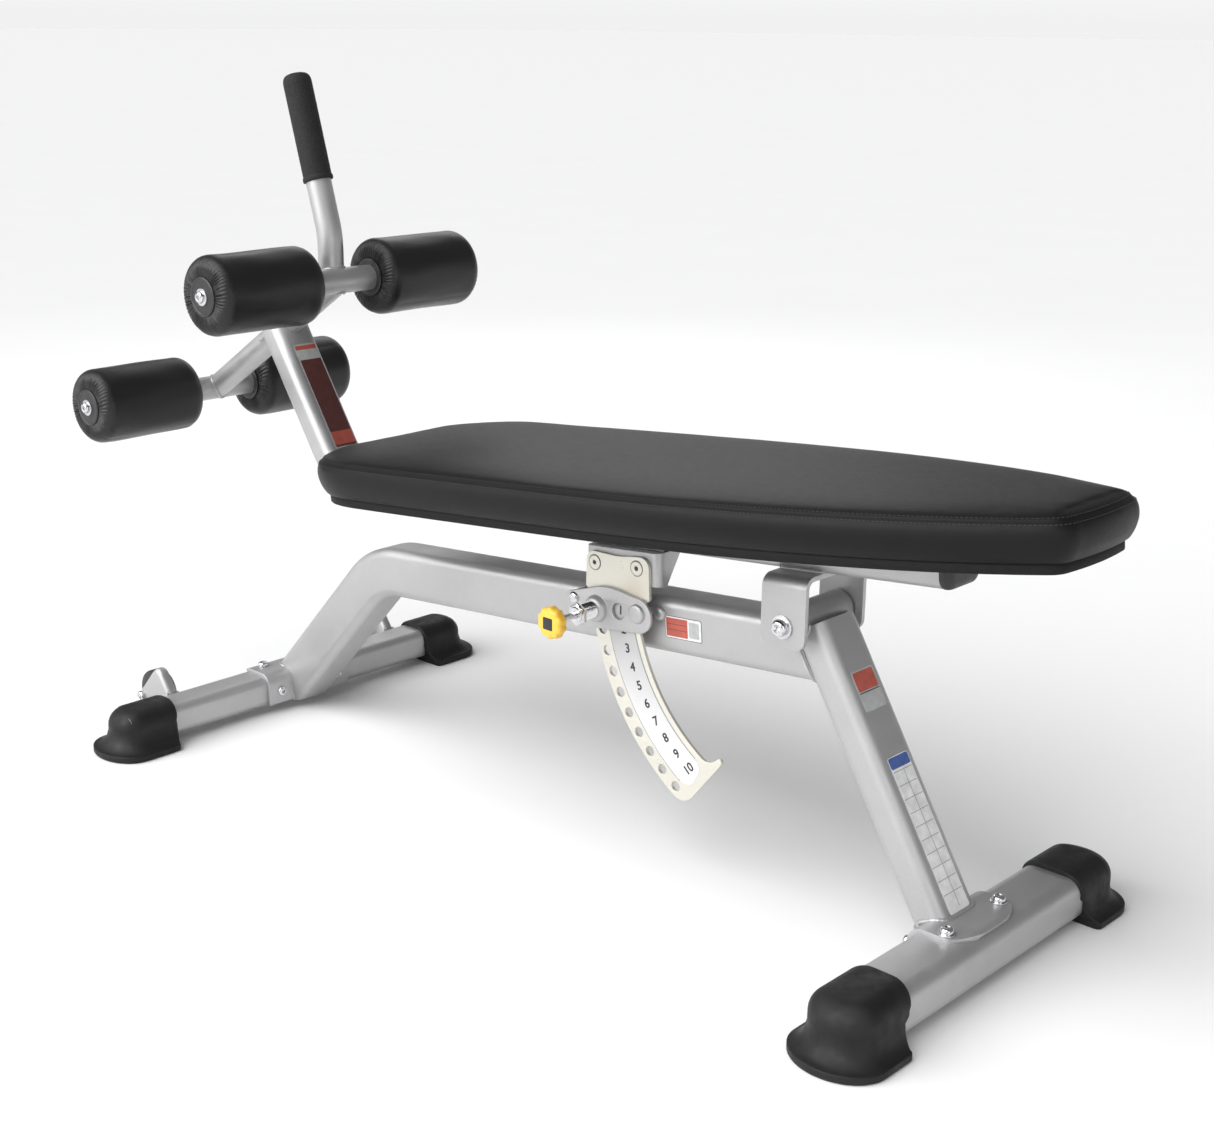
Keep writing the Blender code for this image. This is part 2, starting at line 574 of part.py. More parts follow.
# ------------------------------------------------ guide plate and pull pin
hx = PIVOT_X + ARC_R * math.cos(math.radians(ARC_FIRST))
hz = PIVOT_Z + ARC_R * math.sin(math.radians(ARC_FIRST))
GUIDE_Y0, GUIDE_Y1 = -58.0, -53.0
STUD_R = (-599.5, 346.6)
STUD_F = (-486.6, 349.5)
WINDOW = (-520.5, 344.7)
outline = hull([(-599.5 + x, 336 + z) for x, z in circle(19.5, 20)] + [(-578 + x, 329 + z) for x, z in circle(18.5, 20)]
               + [(-486 + x, 346 + z) for x, z in circle(23, 20)] + [(-533 + x, 273 + z) for x, z in circle(100.5, 48) if z > 80])
plate("guide_plate", outline,
      [(STUD_R[0], STUD_R[1], 5.6, 16), (STUD_F[0], STUD_F[1], 5.6, 16), (hx, hz, PIN_R + 0.35, 20), (WINDOW[0], WINDOW[1], 11.0, 20)],
      GUIDE_Y0, GUIDE_Y1, "steel_silver")
beam_side = -BEAM_W / 2 - GAP
for name, (sx, sz), collar, head_r, head_h in (("guide_stud_rear", STUD_R, 9.5, 8.0, 4.5), ("guide_stud_front", STUD_F, 5.9, 13.0, 5.0)):
    turned(name, [(0, 0), (collar, 0), (collar, -(GUIDE_Y1 + GAP - beam_side)), (5.2, -(GUIDE_Y1 + GAP - beam_side)),
                  (5.2, -(GUIDE_Y0 - GAP - beam_side)), (head_r, -(GUIDE_Y0 - GAP - beam_side)),
                  (head_r * 0.95, -(GUIDE_Y0 - GAP - beam_side) + head_h * 0.5), (head_r * 0.7, -(GUIDE_Y0 - GAP - beam_side) + head_h * 0.9),
                  (0, -(GUIDE_Y0 - GAP - beam_side) + head_h)],
           (sx, beam_side, sz), (0, -1, 0), "steel_silver" if name.endswith("front") else "chrome", n=14)

HOUSE0 = GUIDE_Y0 - GAP
turned("plunger_housing",
       [(PIN_R + 0.35, 0), (14.5, 0), (14.5, 5.0), (12.5, 7.5), (11.0, 8.0), (11.0, 39.5), (10.0, 40.7), (4.9, 40.7), (4.9, 36.5),
        (9.2, 36.5), (9.2, 3.2), (PIN_R + 0.35, 3.2), (PIN_R + 0.35, 0)],
       (hx, HOUSE0, hz), (0, -1, 0), "chrome", n=20)
turned("plunger_locknut", [(11.3, 32.0), (("hex", 27.0), 32.0), (("hex", 27.0), 38.5), (11.3, 38.5), (11.3, 32.0)],
       (hx, HOUSE0, hz), (0, -1, 0), "chrome", n=18)
PIN_TIP = -52.2
pin = turned("plunger_pin",
             [(0, 0), (PIN_R - 1.2, 0), (PIN_R, 1.2), (PIN_R, 25.8), (8.4, 25.8), (8.4, 28.3), (4.5, 28.3), (4.5, 84.0), (0, 84.0)],
             (hx, PIN_TIP, hz), (0, -1, 0), "chrome", n=16)
set_origin(pin, hx, PIN_TIP, hz)
verts, faces = [], []
turns, per, wire = 4.0, 12, 0.9
spring_r, s0, s1 = 7.0, 29.8, 39.6
steps = int(turns * per)
for k in range(steps + 1):
    ang = 2 * math.pi * k / per
    along = s0 + (s1 - s0) * k / steps
    cx, cz = spring_r * math.cos(ang), spring_r * math.sin(ang)
    for m in range(4):
        b = math.pi * m / 2
        rad = spring_r + wire * math.cos(b)
        verts.append((hx + rad * math.cos(ang), PIN_TIP - along - wire * math.sin(b), hz + rad * math.sin(ang)))
for k in range(steps):
    faces += ring_faces(k * 4, (k + 1) * 4, 4)
faces += [tuple(range(4)), tuple(steps * 4 + k for k in range(4))]
add_mesh("plunger_spring", verts, faces, "spring_steel", smooth_deg=80)

KNOB0 = 79.5                      # along the pin, from its tip
knob_verts, knob_faces = [], []
lobes, per_lobe, KNOB_R = 10, 4, 22.0
n_k = lobes * per_lobe
rows = [(0, 5.1 + KNOB0), (4.9, 5.1 + KNOB0), (4.9, KNOB0 - 0.0), (11.0, KNOB0), (KNOB_R - 3.0, KNOB0 + 1.5), (KNOB_R, KNOB0 + 5.0),
        (KNOB_R, KNOB0 + 12.0), (KNOB_R - 2.5, KNOB0 + 15.5), (0, KNOB0 + 17.0)]
index = []
for r, along in rows:
    if r == 0:
        index.append((len(knob_verts), 1))
        knob_verts.append((hx, PIN_TIP - along, hz))
        continue
    index.append((len(knob_verts), n_k))
    depth = 1.6 if r > 15 else 0.0
    for k in range(n_k):
        ang = 2 * math.pi * k / n_k
        rr_k = r - depth * (0.5 - 0.5 * math.cos(lobes * ang))
        knob_verts.append((hx + rr_k * math.cos(ang), PIN_TIP - along, hz + rr_k * math.sin(ang)))
for (a, na), (b, nb) in zip(index[:-1], index[1:]):
    if na == 1:
        knob_faces += [(a, b + k, b + (k + 1) % n_k) for k in range(n_k)]
    elif nb == 1:
        knob_faces += [(a + (k + 1) % n_k, a + k, b) for k in range(n_k)]
    else:
        knob_faces += ring_faces(a, b, n_k)
knob = add_mesh("plunger_knob", knob_verts, knob_faces, "plastic_yellow")
set_origin(knob, hx, PIN_TIP, hz)

# ------------------------------------------------------- seat rail and post
post_dir = Vector((-POST_LEAN, 1.0)).normalized()
post_corner_x = (POST_X0 - POST_LEAN * (RAIL_Z0 - RAIL_SLOPE * RAIL_X0 - POST_Z0)) / (1 + POST_LEAN * RAIL_SLOPE)
post_corner = (post_corner_x, RAIL_Z0 + RAIL_SLOPE * (post_corner_x - RAIL_X0))
post_top = (POST_X0 - POST_LEAN * (640.0 - POST_Z0), 640.0)
rail_start = (RAIL_FRONT, RAIL_Z0 + RAIL_SLOPE * (RAIL_FRONT - RAIL_X0))
rail = sweep("seat_rail", bent_path(rail_start, post_corner, post_top, POST_BEND_R, 8),
             rounded_rect(RAIL_W, RAIL_H, RAIL_R), rounded_rect(RAIL_W - 2 * WALL, RAIL_H - 2 * WALL, RAIL_R - WALL), "steel_silver")
arm_dir = Vector((UPPER_X - LOWER_X, 0, UPPER_Z - LOWER_Z))
arm_len = arm_dir.length
arm_dir.normalize()
arm_mid = Vector(((UPPER_X + LOWER_X) / 2, 0, (UPPER_Z + LOWER_Z) / 2))
# everything above the arm's axis goes, and the arm's own round
arm_n = Vector((-arm_dir.z, arm_dir.x))
a0 = Vector((LOWER_X, LOWER_Z))
a1 = Vector((UPPER_X, UPPER_Z))
cut(rail, prism("post_top_cut", [tuple(a0), tuple(a1), tuple(a1 + arm_n * 200), tuple(a0 + arm_n * 200)], -60, 60, cutter=True))
cut(rail, turned("arm_clearance", [(0, -arm_len / 2), (ROUND_R + GAP, -arm_len / 2), (ROUND_R + GAP, arm_len / 2), (0, arm_len / 2)],
                 tuple(arm_mid), tuple(arm_dir), "chrome", n=24, cutter=True))

# rail end cap: a domed plug
cap_dir = Vector((1.0, 0, RAIL_SLOPE)).normalized()
verts, faces = [], []
cap_rows = [(-13.0, RAIL_W - 2 * WALL - 1.0, RAIL_H - 2 * WALL - 1.0, RAIL_R - WALL - 0.5), (GAP, RAIL_W - 2 * WALL - 1.0, RAIL_H - 2 * WALL - 1.0, RAIL_R - WALL - 0.5),
            (GAP, RAIL_W, RAIL_H, RAIL_R), (6.0, RAIL_W - 0.5, RAIL_H - 0.5, RAIL_R), (11.0, RAIL_W - 5, RAIL_H - 5, RAIL_R - 2.5), (14.0, RAIL_W - 14, RAIL_H - 14, RAIL_R - 7)]
for along, w, h, r in cap_rows:
    for a, b in rounded_rect(w, h, r):
        c = Vector((rail_start[0], 0, rail_start[1])) + cap_dir * along + Vector((-cap_dir.z, 0, cap_dir.x)) * b
        verts.append((c.x, a, c.z))
n = len(rounded_rect(*cap_rows[0][1:]))
for k in range(len(cap_rows) - 1):
    faces += ring_faces(k * n, (k + 1) * n, n)
faces += [tuple(range(n)), tuple((len(cap_rows) - 1) * n + k for k in range(n))]
add_mesh("rail_end_cap", verts, faces, "plastic_black")

# ------------------------------------------------------------ pivot bracket
BR_OUT, BR_IN, BR_HALF = 61.0, 55.0, 33.0
rail_under = RAIL_Z0 + RAIL_SLOPE * (PIVOT_X - RAIL_X0) - 0.5 * RAIL_H * math.hypot(1, RAIL_SLOPE)
top = rail_under - GAP


def u_profile(outer, inner, z_top, r_out, r_in, z_low, n=6):
    pts = [(-outer, z_low)]
    pts += [(-outer + r_out - r_out * math.cos(math.radians(a)), z_top - r_out + r_out * math.sin(math.radians(a))) for a in [90 * k / n for k in range(n + 1)]]
    pts += [(outer - r_out + r_out * math.sin(math.radians(a)), z_top - r_out + r_out * math.cos(math.radians(a))) for a in [90 * k / n for k in range(n + 1)]]
    pts += [(outer, z_low), (inner, z_low)]
    zi = z_top - (outer - inner)
    pts += [(inner - r_in + r_in * math.cos(math.radians(a)), zi - r_in + r_in * math.sin(math.radians(a))) for a in [90 * k / n for k in range(n + 1)]]
    pts += [(-inner + r_in - r_in * math.sin(math.radians(a)), zi - r_in + r_in * math.cos(math.radians(a))) for a in [90 * k / n for k in range(n + 1)]]
    pts += [(-inner, z_low)]
    return pts


profile = u_profile(BR_OUT, BR_IN, top, 15.0, 9.0, 340.0)
verts = []
for dx in (-BR_HALF, BR_HALF):
    for y, z in profile:
        lift = RAIL_SLOPE * dx if z > top - 30 else 0.0
        verts.append((PIVOT_X + dx, y, z + lift))
m = len(profile)
faces = ring_faces(0, m, m) + [tuple(range(m)), tuple(range(2 * m - 1, m - 1, -1))]
bracket = add_mesh("pivot_bracket", verts, faces, "steel_silver", split=True)
ear = rounded_polygon([(PIVOT_X - BR_HALF - 10, 480, 0), (PIVOT_X - BR_HALF + 0.01, 480, 0), (PIVOT_X - BR_HALF + 0.01, 363.5, 15), (PIVOT_X + BR_HALF - 0.01, 363.5, 15), (PIVOT_X + BR_HALF - 0.01, 480, 0)][1:])
cut(bracket, prism("bracket_outline", ear, -80, 80, cutter=True), "INTERSECT")
cut(bracket, turned("pivot_drill", [(0, -90), (8.4, -90), (8.4, 90), (0, 90)], (PIVOT_X, 0, PIVOT_Z), (0, 1, 0), "chrome", n=24, cutter=True))
button_bolt("pivot_bolt", (PIVOT_X, -BR_OUT - GAP, PIVOT_Z), (0, -1, 0), 11.0, 9.0, 8.0, 138.0, washer=(15.0, 2.6))
turned("pivot_nut", [(8.3, 0), (15.0, 0), (15.0, 2.5), (("hex", 24.0), 2.5), (("hex", 24.0), 11.0), (("hex", 22.0), 12.5), (8.3, 12.5), (8.3, 0)],
       (PIVOT_X, BR_OUT + GAP, PIVOT_Z), (0, 1, 0), "chrome", n=18)

# --------------------------------------------------- arc mount and arc plate
MX0, MX1, MY0, MY1, MZ0 = -591.0, -461.0, ARC_Y1 + GAP, -2.0, 386.5
MT = 4.0


def rail_low(x):
    return RAIL_Z0 + RAIL_SLOPE * (x - RAIL_X0) - 0.5 * RAIL_H * math.hypot(1, RAIL_SLOPE) - GAP


def mount_block(name, x0, x1, y0, r, back_low, back_top, z_low, z_top, cutter=False):
    """A block with its front edges rounded and its back leaning from back_low
    at the bottom to back_top at the top."""
    low = rounded_polygon([(x0, y0, r), (x1, y0, r), (x1, back_low, 0), (x0, back_low, 0)], 4)
    high = rounded_polygon([(x0, y0, r), (x1, y0, r), (x1, back_top, 0), (x0, back_top, 0)], 4)
    m = len(low)
    verts = [(x, y, z_low) for x, y in low] + [(x, y, z_top(x)) for x, y in high]
    return add_mesh(name, verts, [tuple(range(m)), tuple(range(2 * m - 1, m - 1, -1))] + ring_faces(0, m, m),
                    "steel_silver", cutter=cutter, split=True)


arc_mount = mount_block("arc_mount", MX0, MX1, MY0, 10.0, -29.0, MY1, MZ0, rail_low)
cut(arc_mount, mount_block("arc_mount_inside", MX0 + MT, MX1 - MT, MY0 + MT, 6.0, 70.0, 70.0, MZ0 - 20.0,
                           lambda x: rail_low(x) - MT, cutter=True))


def polar(r, deg):
    return (PIVOT_X + r * math.cos(math.radians(deg)), PIVOT_Z + r * math.sin(math.radians(deg)))


R_OUT, R_IN = 326.0, 247.0
outline = rounded_polygon([(-584.0, 366.0, 0), (-582.5, 414.6, 13), (-545.0, 416.6, 0), (-521.0, 418.6, 0), (-503.0, 421.4, 0), (-474.5, 425.0, 14), (-471.6, 366.5, 5), (-494.0, 361.0, 0)], 5)
outline += [polar(R_IN, a) for a in [191.0 + 3.0 * k for k in range(17)]]          # 191 .. 239
outline += [polar(245.8, 240.3), polar(241.5, 241.7), polar(235.5, 242.7), polar(230.0, 243.3), polar(226.5, 243.7),
            polar(225.5, 244.4), polar(227.5, 245.2), polar(231.0, 245.4), polar(240.0, 245.0)]
outline += [polar(306.0, 242.0), polar(315.0, 241.3), polar(321.5, 240.3), polar(325.3, 238.8)]
outline += [polar(R_OUT, a) for a in [237.0 - 3.0 * k for k in range(18)]]          # 237 .. 186
holes = [polar(ARC_R, ARC_FIRST + ARC_STEP * k) + (ARC_HOLE_R, 14) for k in range(ARC_HOLES)]
ARC_BOLTS = [(-568.1, 400.4), (-494.0, 407.5)]
holes += [(x, z, 5.3, 12) for x, z in ARC_BOLTS]
plate("arc_plate", outline, holes, ARC_Y0, ARC_Y1, "nickel_plate")
for tag, (x, z) in zip(("rear", "front"), ARC_BOLTS):
    cut(arc_mount, turned("arc_drill_" + tag, [(0, -60), (5.3, -60), (5.3, 0), (0, 0)], (x, 0, z), (0, 1, 0), "chrome", n=16, cutter=True))
    button_bolt("arc_bolt_" + tag, (x, ARC_Y0 - GAP, z), (0, -1, 0), 9.5, 3.2, 4.8, 16.0)

# --------------------------------------------------- cross tubes, arm, handle
for label, cx, cz in (("upper", UPPER_X, UPPER_Z), ("lower", LOWER_X, LOWER_Z)):
    half = ROLLER_OUT - 6.0
    turned(label + "_cross_tube", [(16.0, -half), (ROUND_R, -half), (ROUND_R, half), (16.0, half), (16.0, -half)], (cx, 0, cz), (0, 1, 0), "steel_silver", n=24)
arm = turned("roller_arm", [(16.0, -arm_len / 2), (ROUND_R, -arm_len / 2), (ROUND_R, arm_len / 2), (16.0, arm_len / 2), (16.0, -arm_len / 2)],
             tuple(arm_mid), tuple(arm_dir), "steel_silver", n=24)
for label, cx, cz in (("upper", UPPER_X, UPPER_Z), ("lower", LOWER_X, LOWER_Z)):
    tool = turned(label + "_tube_clearance", [(0, -60), (ROUND_R + GAP, -60), (ROUND_R + GAP, 60), (0, 60)], (cx, 0, cz), (0, 1, 0), "chrome", n=24, cutter=True)
    cut(arm, tool)

GRIP_DIR = Vector((-0.286, 0.958)).normalized()
grip_low = Vector((-1190.8, 850.3))
HANDLE_X = -1167.0
HANDLE_BEND = tuple(grip_low + GRIP_DIR * ((HANDLE_X - grip_low.x) / GRIP_DIR.x))
handle_top = grip_low + GRIP_DIR * 140.0
handle_low = (HANDLE_X, UPPER_Z - 4.0)
handle = sweep("handle_tube", bent_path(handle_low, HANDLE_BEND, tuple(handle_top), 130.0, 6), circle(ROUND_R, 20), circle(16.0, 20), "steel_silver")
cut(handle, bpy.data.objects["upper_tube_clearance"])
cut(handle, bpy.data.objects["arm_clearance"])
grip_c = grip_low - GRIP_DIR * 2.0
grip = turned("hand_grip",
              [(0, 148.0), (ROUND_R + GAP, 148.0), (ROUND_R + GAP, 0), (21.5, 0), (22.5, 1.5), (22.5, 5.5), (21.3, 7.0), (21.3, 146.0), (20.2, 152.0),
               (17.0, 156.5), (11.0, 158.8), (0, 159.3)],
              (grip_c.x, 0, grip_c.y), (GRIP_DIR.x, 0, GRIP_DIR.y), "grip_rubber", n=20)

# ----------------------------------------------------------------- rollers
roller_len = ROLLER_OUT - ROLLER_IN
bore = ROUND_R + 0.6
for level, cx, cz in (("upper", UPPER_X, UPPER_Z), ("lower", LOWER_X, LOWER_Z)):
    for label, side in (("right", -1), ("left", 1)):
        e = 16.0
        prof = [(bore, 4.0), (30.0, 1.0), (ROLLER_R - e, 0.0)]
        prof += [(ROLLER_R - e + e * math.sin(math.radians(a)), e - e * math.cos(math.radians(a))) for a in (30, 60, 90)]
        prof += [(ROLLER_R - e + e * math.cos(math.radians(a)), roller_len - e + e * math.sin(math.radians(a))) for a in (0, 30, 60, 90)]
        prof += [(30.0, roller_len - 1.0), (27.5, roller_len - 4.0), (bore, roller_len - 4.0), (bore, 4.0)]
        roller = turned(f"roller_{level}_{label}", prof, (cx, side * ROLLER_IN, cz), (0, side, 0), "vinyl_black", n=28, smooth_deg=60)
        set_origin(roller, cx, side * (ROLLER_IN + ROLLER_OUT) / 2, cz)
        end = ROLLER_OUT - 6.0 + GAP
        cap = turned(f"roller_cap_{level}_{label}",
                     [(0, -14.0), (15.6, -14.0), (15.6, 0.0), (18.6, 0.0), (18.6, 2.5), (10.5, 3.2), (10.5, 6.0), (8.0, 8.2), (0, 8.6)],
                     (cx, side * end, cz), (0, side, 0), "chrome", n=16)


# --------------------------------------------------------------------- pad
def half_width(x):
    """Half width of the upholstery: widest at the hips, narrowing to the head."""
    taper = max(0.0, (x + 500.0) / 640.0)
    waist = max(0.0, (-600.0 - x) / 440.0)
    return 200.0 - 96.0 * taper ** 2.1 - 28.0 * taper ** 6 - 3.0 * waist ** 2


def pad_outline(inset, per_side=16):
    """Plan outline (x, y) of the pad, rounded at both ends, moved in by inset."""
    right = []
    x0, x1 = PAD_REAR, PAD_FRONT
    r_rear, r_front = 120.0, 40.0
    # the front corner arc starts where it is tangent to the tapering side
    joint, turn = x1 - r_front, 0.0
    for _ in range(20):
        turn = math.atan(half_width(joint - 0.5) - half_width(joint + 0.5))
        joint = x1 - r_front + r_front * math.sin(turn)
    centre = half_width(joint) - r_front * math.cos(turn)
    # rear end: corner arc
    w_rear = half_width(x0 + r_rear)
    for k in range(0, 7):
        a = math.radians(180 + 15 * k)
        right.append((x0 + r_rear + r_rear * math.cos(a), -(w_rear - r_rear) + r_rear * math.sin(a)))
    for k in range(1, per_side):
        x = x0 + r_rear + (joint - x0 - r_rear) * k / per_side
        right.append((x, -half_width(x)))
    for k in range(0, 7):
        a = math.radians(270) + turn + (math.radians(90) - turn) * k / 6
        right.append((x1 - r_front + r_front * math.cos(a), -centre + r_front * math.sin(a)))
    pts = right + [(x, -y) for x, y in right[::-1]]
    clean = []
    for p in pts:
        if not clean or math.dist(p, clean[-1]) > 0.5:
            clean.append(p)
    if math.dist(clean[0], clean[-1]) < 0.5:
        clean.pop()
    if inset == 0:
        return clean
    out = []
    m = len(clean)
    for k in range(m):
        p0, p1, p2 = Vector(clean[k - 1]), Vector(clean[k]), Vector(clean[(k + 1) % m])
        t = (p2 - p0).normalized()
        nrm = Vector((-t.y, t.x))
        out.append(tuple(p1 + nrm * inset))
    return out


def pad_point(x, y, lift):
    base = BOARD_Z0 + PAD_SLOPE * (x - RAIL_X0)
    return (x - lift * PAD_SLOPE, y, base + lift)


def pad_stack(name, rows, mat, smooth_deg=50.0):
    verts, faces = [], []
    for inset, lift in rows:
        outline = pad_outline(inset)
        verts += [pad_point(x, y, lift) for x, y in outline]
    m = len(pad_outline(0))
    for k in range(len(rows) - 1):
        faces += ring_faces(k * m, (k + 1) * m, m)
    faces += [tuple(range(m)), tuple((len(rows) - 1) * m + k for k in range(m))]
    return add_mesh(name, verts, faces, mat, smooth_deg=smooth_deg)


pad_stack("pad_board", [(17.0, 0.0), (15.5, 1.5), (15.5, BOARD_T - 1.0), (16.5, BOARD_T)], "plywood_black")
z0 = BOARD_T + GAP
pad_stack("seat_pad", [(13.0, z0), (8.5, z0 + 4.0), (3.5, z0 + 14.0), (0.0, z0 + 27.0), (0.0, z0 + 34.0), (2.8, z0 + 43.0), (9.0, z0 + 50.0), (17.0, z0 + 54.5), (30.0, z0 + PAD_T)], "vinyl_black")

# --------------------------------------------- empties on the joints' axes
for name, (x, y, z), members in (
    ("bench_tilt_axis", (PIVOT_X, 0, PIVOT_Z),
     ["seat_rail", "rail_end_cap", "pivot_bracket", "pivot_bolt", "pivot_nut", "arc_mount", "arc_plate", "arc_bolt_rear", "arc_bolt_front",
      "pad_board", "seat_pad", "upper_cross_tube", "lower_cross_tube", "roller_arm", "handle_tube", "hand_grip"]
     + [f"roller_{a}_{b}" for a in ("upper", "lower") for b in ("right", "left")]
     + [f"roller_cap_{a}_{b}" for a in ("upper", "lower") for b in ("right", "left")]),
):
    axis = bpy.data.objects.new(name, None)
    bpy.context.scene.collection.objects.link(axis)
    axis.location = P(x, y, z)
    bpy.context.view_layer.update()
    for member in members:
        obj = bpy.data.objects[member]
        obj.parent = axis
        obj.matrix_parent_inverse = axis.matrix_world.inverted()
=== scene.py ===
"""Looks for the decline sit-up bench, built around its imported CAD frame.

Dimensions are in millimetres with X measured from the middle of the front base
tube, the same as in the CAD source, and P() turns them into the row frame.
"""
import math

import bmesh
import bpy
from mathutils import Matrix, Vector


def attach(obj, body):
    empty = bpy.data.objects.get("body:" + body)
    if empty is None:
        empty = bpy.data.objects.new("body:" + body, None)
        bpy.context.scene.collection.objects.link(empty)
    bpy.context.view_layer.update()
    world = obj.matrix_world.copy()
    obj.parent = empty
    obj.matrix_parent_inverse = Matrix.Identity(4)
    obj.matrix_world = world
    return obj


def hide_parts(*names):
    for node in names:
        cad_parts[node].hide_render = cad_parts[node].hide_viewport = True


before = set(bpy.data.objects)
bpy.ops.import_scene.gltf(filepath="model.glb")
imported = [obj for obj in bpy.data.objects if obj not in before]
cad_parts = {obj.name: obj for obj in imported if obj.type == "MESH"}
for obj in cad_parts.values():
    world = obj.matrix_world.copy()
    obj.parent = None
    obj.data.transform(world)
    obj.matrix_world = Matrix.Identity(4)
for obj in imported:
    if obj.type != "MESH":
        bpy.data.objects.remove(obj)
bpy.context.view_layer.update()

MM = 0.001
X_MID = -702.5
FRONT_TUBE = dict(x=0.0, z=38.7, w=80.0, h=60.0, r=18.0, half=262.0)
REAR_TUBE = dict(x=-1297.0, z=36.8, w=60.0, h=50.0, r=14.0, half=330.0)
SADDLE_T = 5.0
BEAM_W, BEAM_H, BEAM_R = 66.0, 74.5, 14.0
BEAM_X0, BEAM_Z0, BEAM_SLOPE = -402.5, 338.2, 0.0893
DESC_X0, DESC_Z0, DESC_DEG = -1156.3, 168.6, 46.5
BEAM_BEND_R = 125.0
LEG_W, LEG_H, LEG_R = 75.0, 50.0, 16.0
LEG_X0, LEG_Z0, LEG_SLOPE = -148.0, 245.9, 0.604
PIVOT_X, PIVOT_Z = -249.2, 389.5
BARREL_R, BARREL_HALF = 22.0, 52.0
RAIL_W, RAIL_H, RAIL_R = 68.0, 46.5, 15.0
RAIL_X0, RAIL_Z0, RAIL_SLOPE = -250.0, 475.3, 0.100
RAIL_FRONT = -54.0
POST_X0, POST_Z0, POST_LEAN = -1267.5, 586.5, 0.672
POST_BEND_R = 110.0
UPPER_X, UPPER_Z = -1152.0, 704.1
LOWER_X, LOWER_Z = -1477.3, 497.3
ROUND_R = 19.0
ROLLER_R, ROLLER_IN, ROLLER_OUT = 58.3, 59.4, 241.2
ARC_R, ARC_FIRST, ARC_STEP, ARC_HOLES = 313.3, 189.05, 5.316, 10
PIN_R = 6.35
ARC_Y0, ARC_Y1 = -51.7, -46.7
PAD_SLOPE = 0.1
BOARD_Z0 = RAIL_Z0 + 0.5 * RAIL_H * math.hypot(1, RAIL_SLOPE) + 0.3
BOARD_T, PAD_T = 12.0, 57.0
PAD_REAR, PAD_FRONT = -1040.0, 134.6
WHEEL_X, WHEEL_Z, WHEEL_R = -1396.0, 38.0, 36.5


def P(x, y, z):
    return Vector(((x - X_MID) * MM, y * MM, z * MM))


# ---------------------------------------------------------------- materials
class Tree:
    """A material with a Principled shader and short helpers for its nodes."""

    def __init__(self, name, colour, metallic, roughness, **extra):
        self.mat = bpy.data.materials.new(name)
        self.mat.use_nodes = True
        self.nt = self.mat.node_tree
        self.bsdf = self.nt.nodes["Principled BSDF"]
        self.bsdf.inputs["Base Color"].default_value = (*colour, 1)
        self.bsdf.inputs["Metallic"].default_value = metallic
        self.bsdf.inputs["Roughness"].default_value = roughness
        for key, value in extra.items():
            self.bsdf.inputs[key.replace("_", " ")].default_value = value
        self.coord = self.nt.nodes.new("ShaderNodeTexCoord").outputs["Object"]

    def node(self, kind, **inputs):
        n = self.nt.nodes.new(kind)
        for key, value in inputs.items():
            sock = n.inputs[key.replace("_", " ")] if not key.startswith("i_") else n.inputs[int(key[2:])]
            if isinstance(value, bpy.types.NodeSocket):
                self.nt.links.new(value, sock)
            else:
                sock.default_value = value
        return n

    def noise(self, scale, detail=3.0, rough=0.5, vector=None):
        n = self.node("ShaderNodeTexNoise", Scale=scale, Detail=detail, Roughness=rough)
        self.nt.links.new(vector or self.coord, n.inputs["Vector"])
        return n.outputs["Fac"]

    def voronoi(self, scale, feature="DISTANCE_TO_EDGE"):
        n = self.nt.nodes.new("ShaderNodeTexVoronoi")
        n.feature = feature
        n.inputs["Scale"].default_value = scale
        self.nt.links.new(self.coord, n.inputs["Vector"])
        return n.outputs["Distance"]

    def ramp(self, fac, *stops):
        n = self.nt.nodes.new("ShaderNodeValToRGB")
        el = n.color_ramp.elements
        while len(el) < len(stops):
            el.new(0.5)
        for e, (pos, col) in zip(el, stops):
            e.position = pos
            e.color = (*col, 1) if isinstance(col, tuple) else (col, col, col, 1)
        self.nt.links.new(fac, n.inputs["Fac"])
        return n.outputs["Color"]

    def rng(self, value, a, b, lo=0.0, hi=1.0):
        n = self.node("ShaderNodeMapRange", Value=value)
        n.inputs["From Min"].default_value = lo
        n.inputs["From Max"].default_value = hi
        n.inputs["To Min"].default_value = a
        n.inputs["To Max"].default_value = b
        return n.outputs["Result"]

    def math(self, op, a, b):
        n = self.nt.nodes.new("ShaderNodeMath")
        n.operation = op
        for k, v in enumerate((a, b)):
            if isinstance(v, bpy.types.NodeSocket):
                self.nt.links.new(v, n.inputs[k])
            else:
                n.inputs[k].default_value = v
        return n.outputs[0]

    def link(self, output, name):
        self.nt.links.new(output, self.bsdf.inputs[name])

    def bump(self, *layers):
        last = None
        for height, strength, distance in layers:
            n = self.nt.nodes.new("ShaderNodeBump")
            n.inputs["Strength"].default_value = strength
            n.inputs["Distance"].default_value = distance
            self.nt.links.new(height, n.inputs["Height"])
            if last:
                self.nt.links.new(last, n.inputs["Normal"])
            last = n.outputs["Normal"]
        self.nt.links.new(last, self.bsdf.inputs["Normal"])


M = {}


def keep(key, tree):
    M[key] = tree.mat


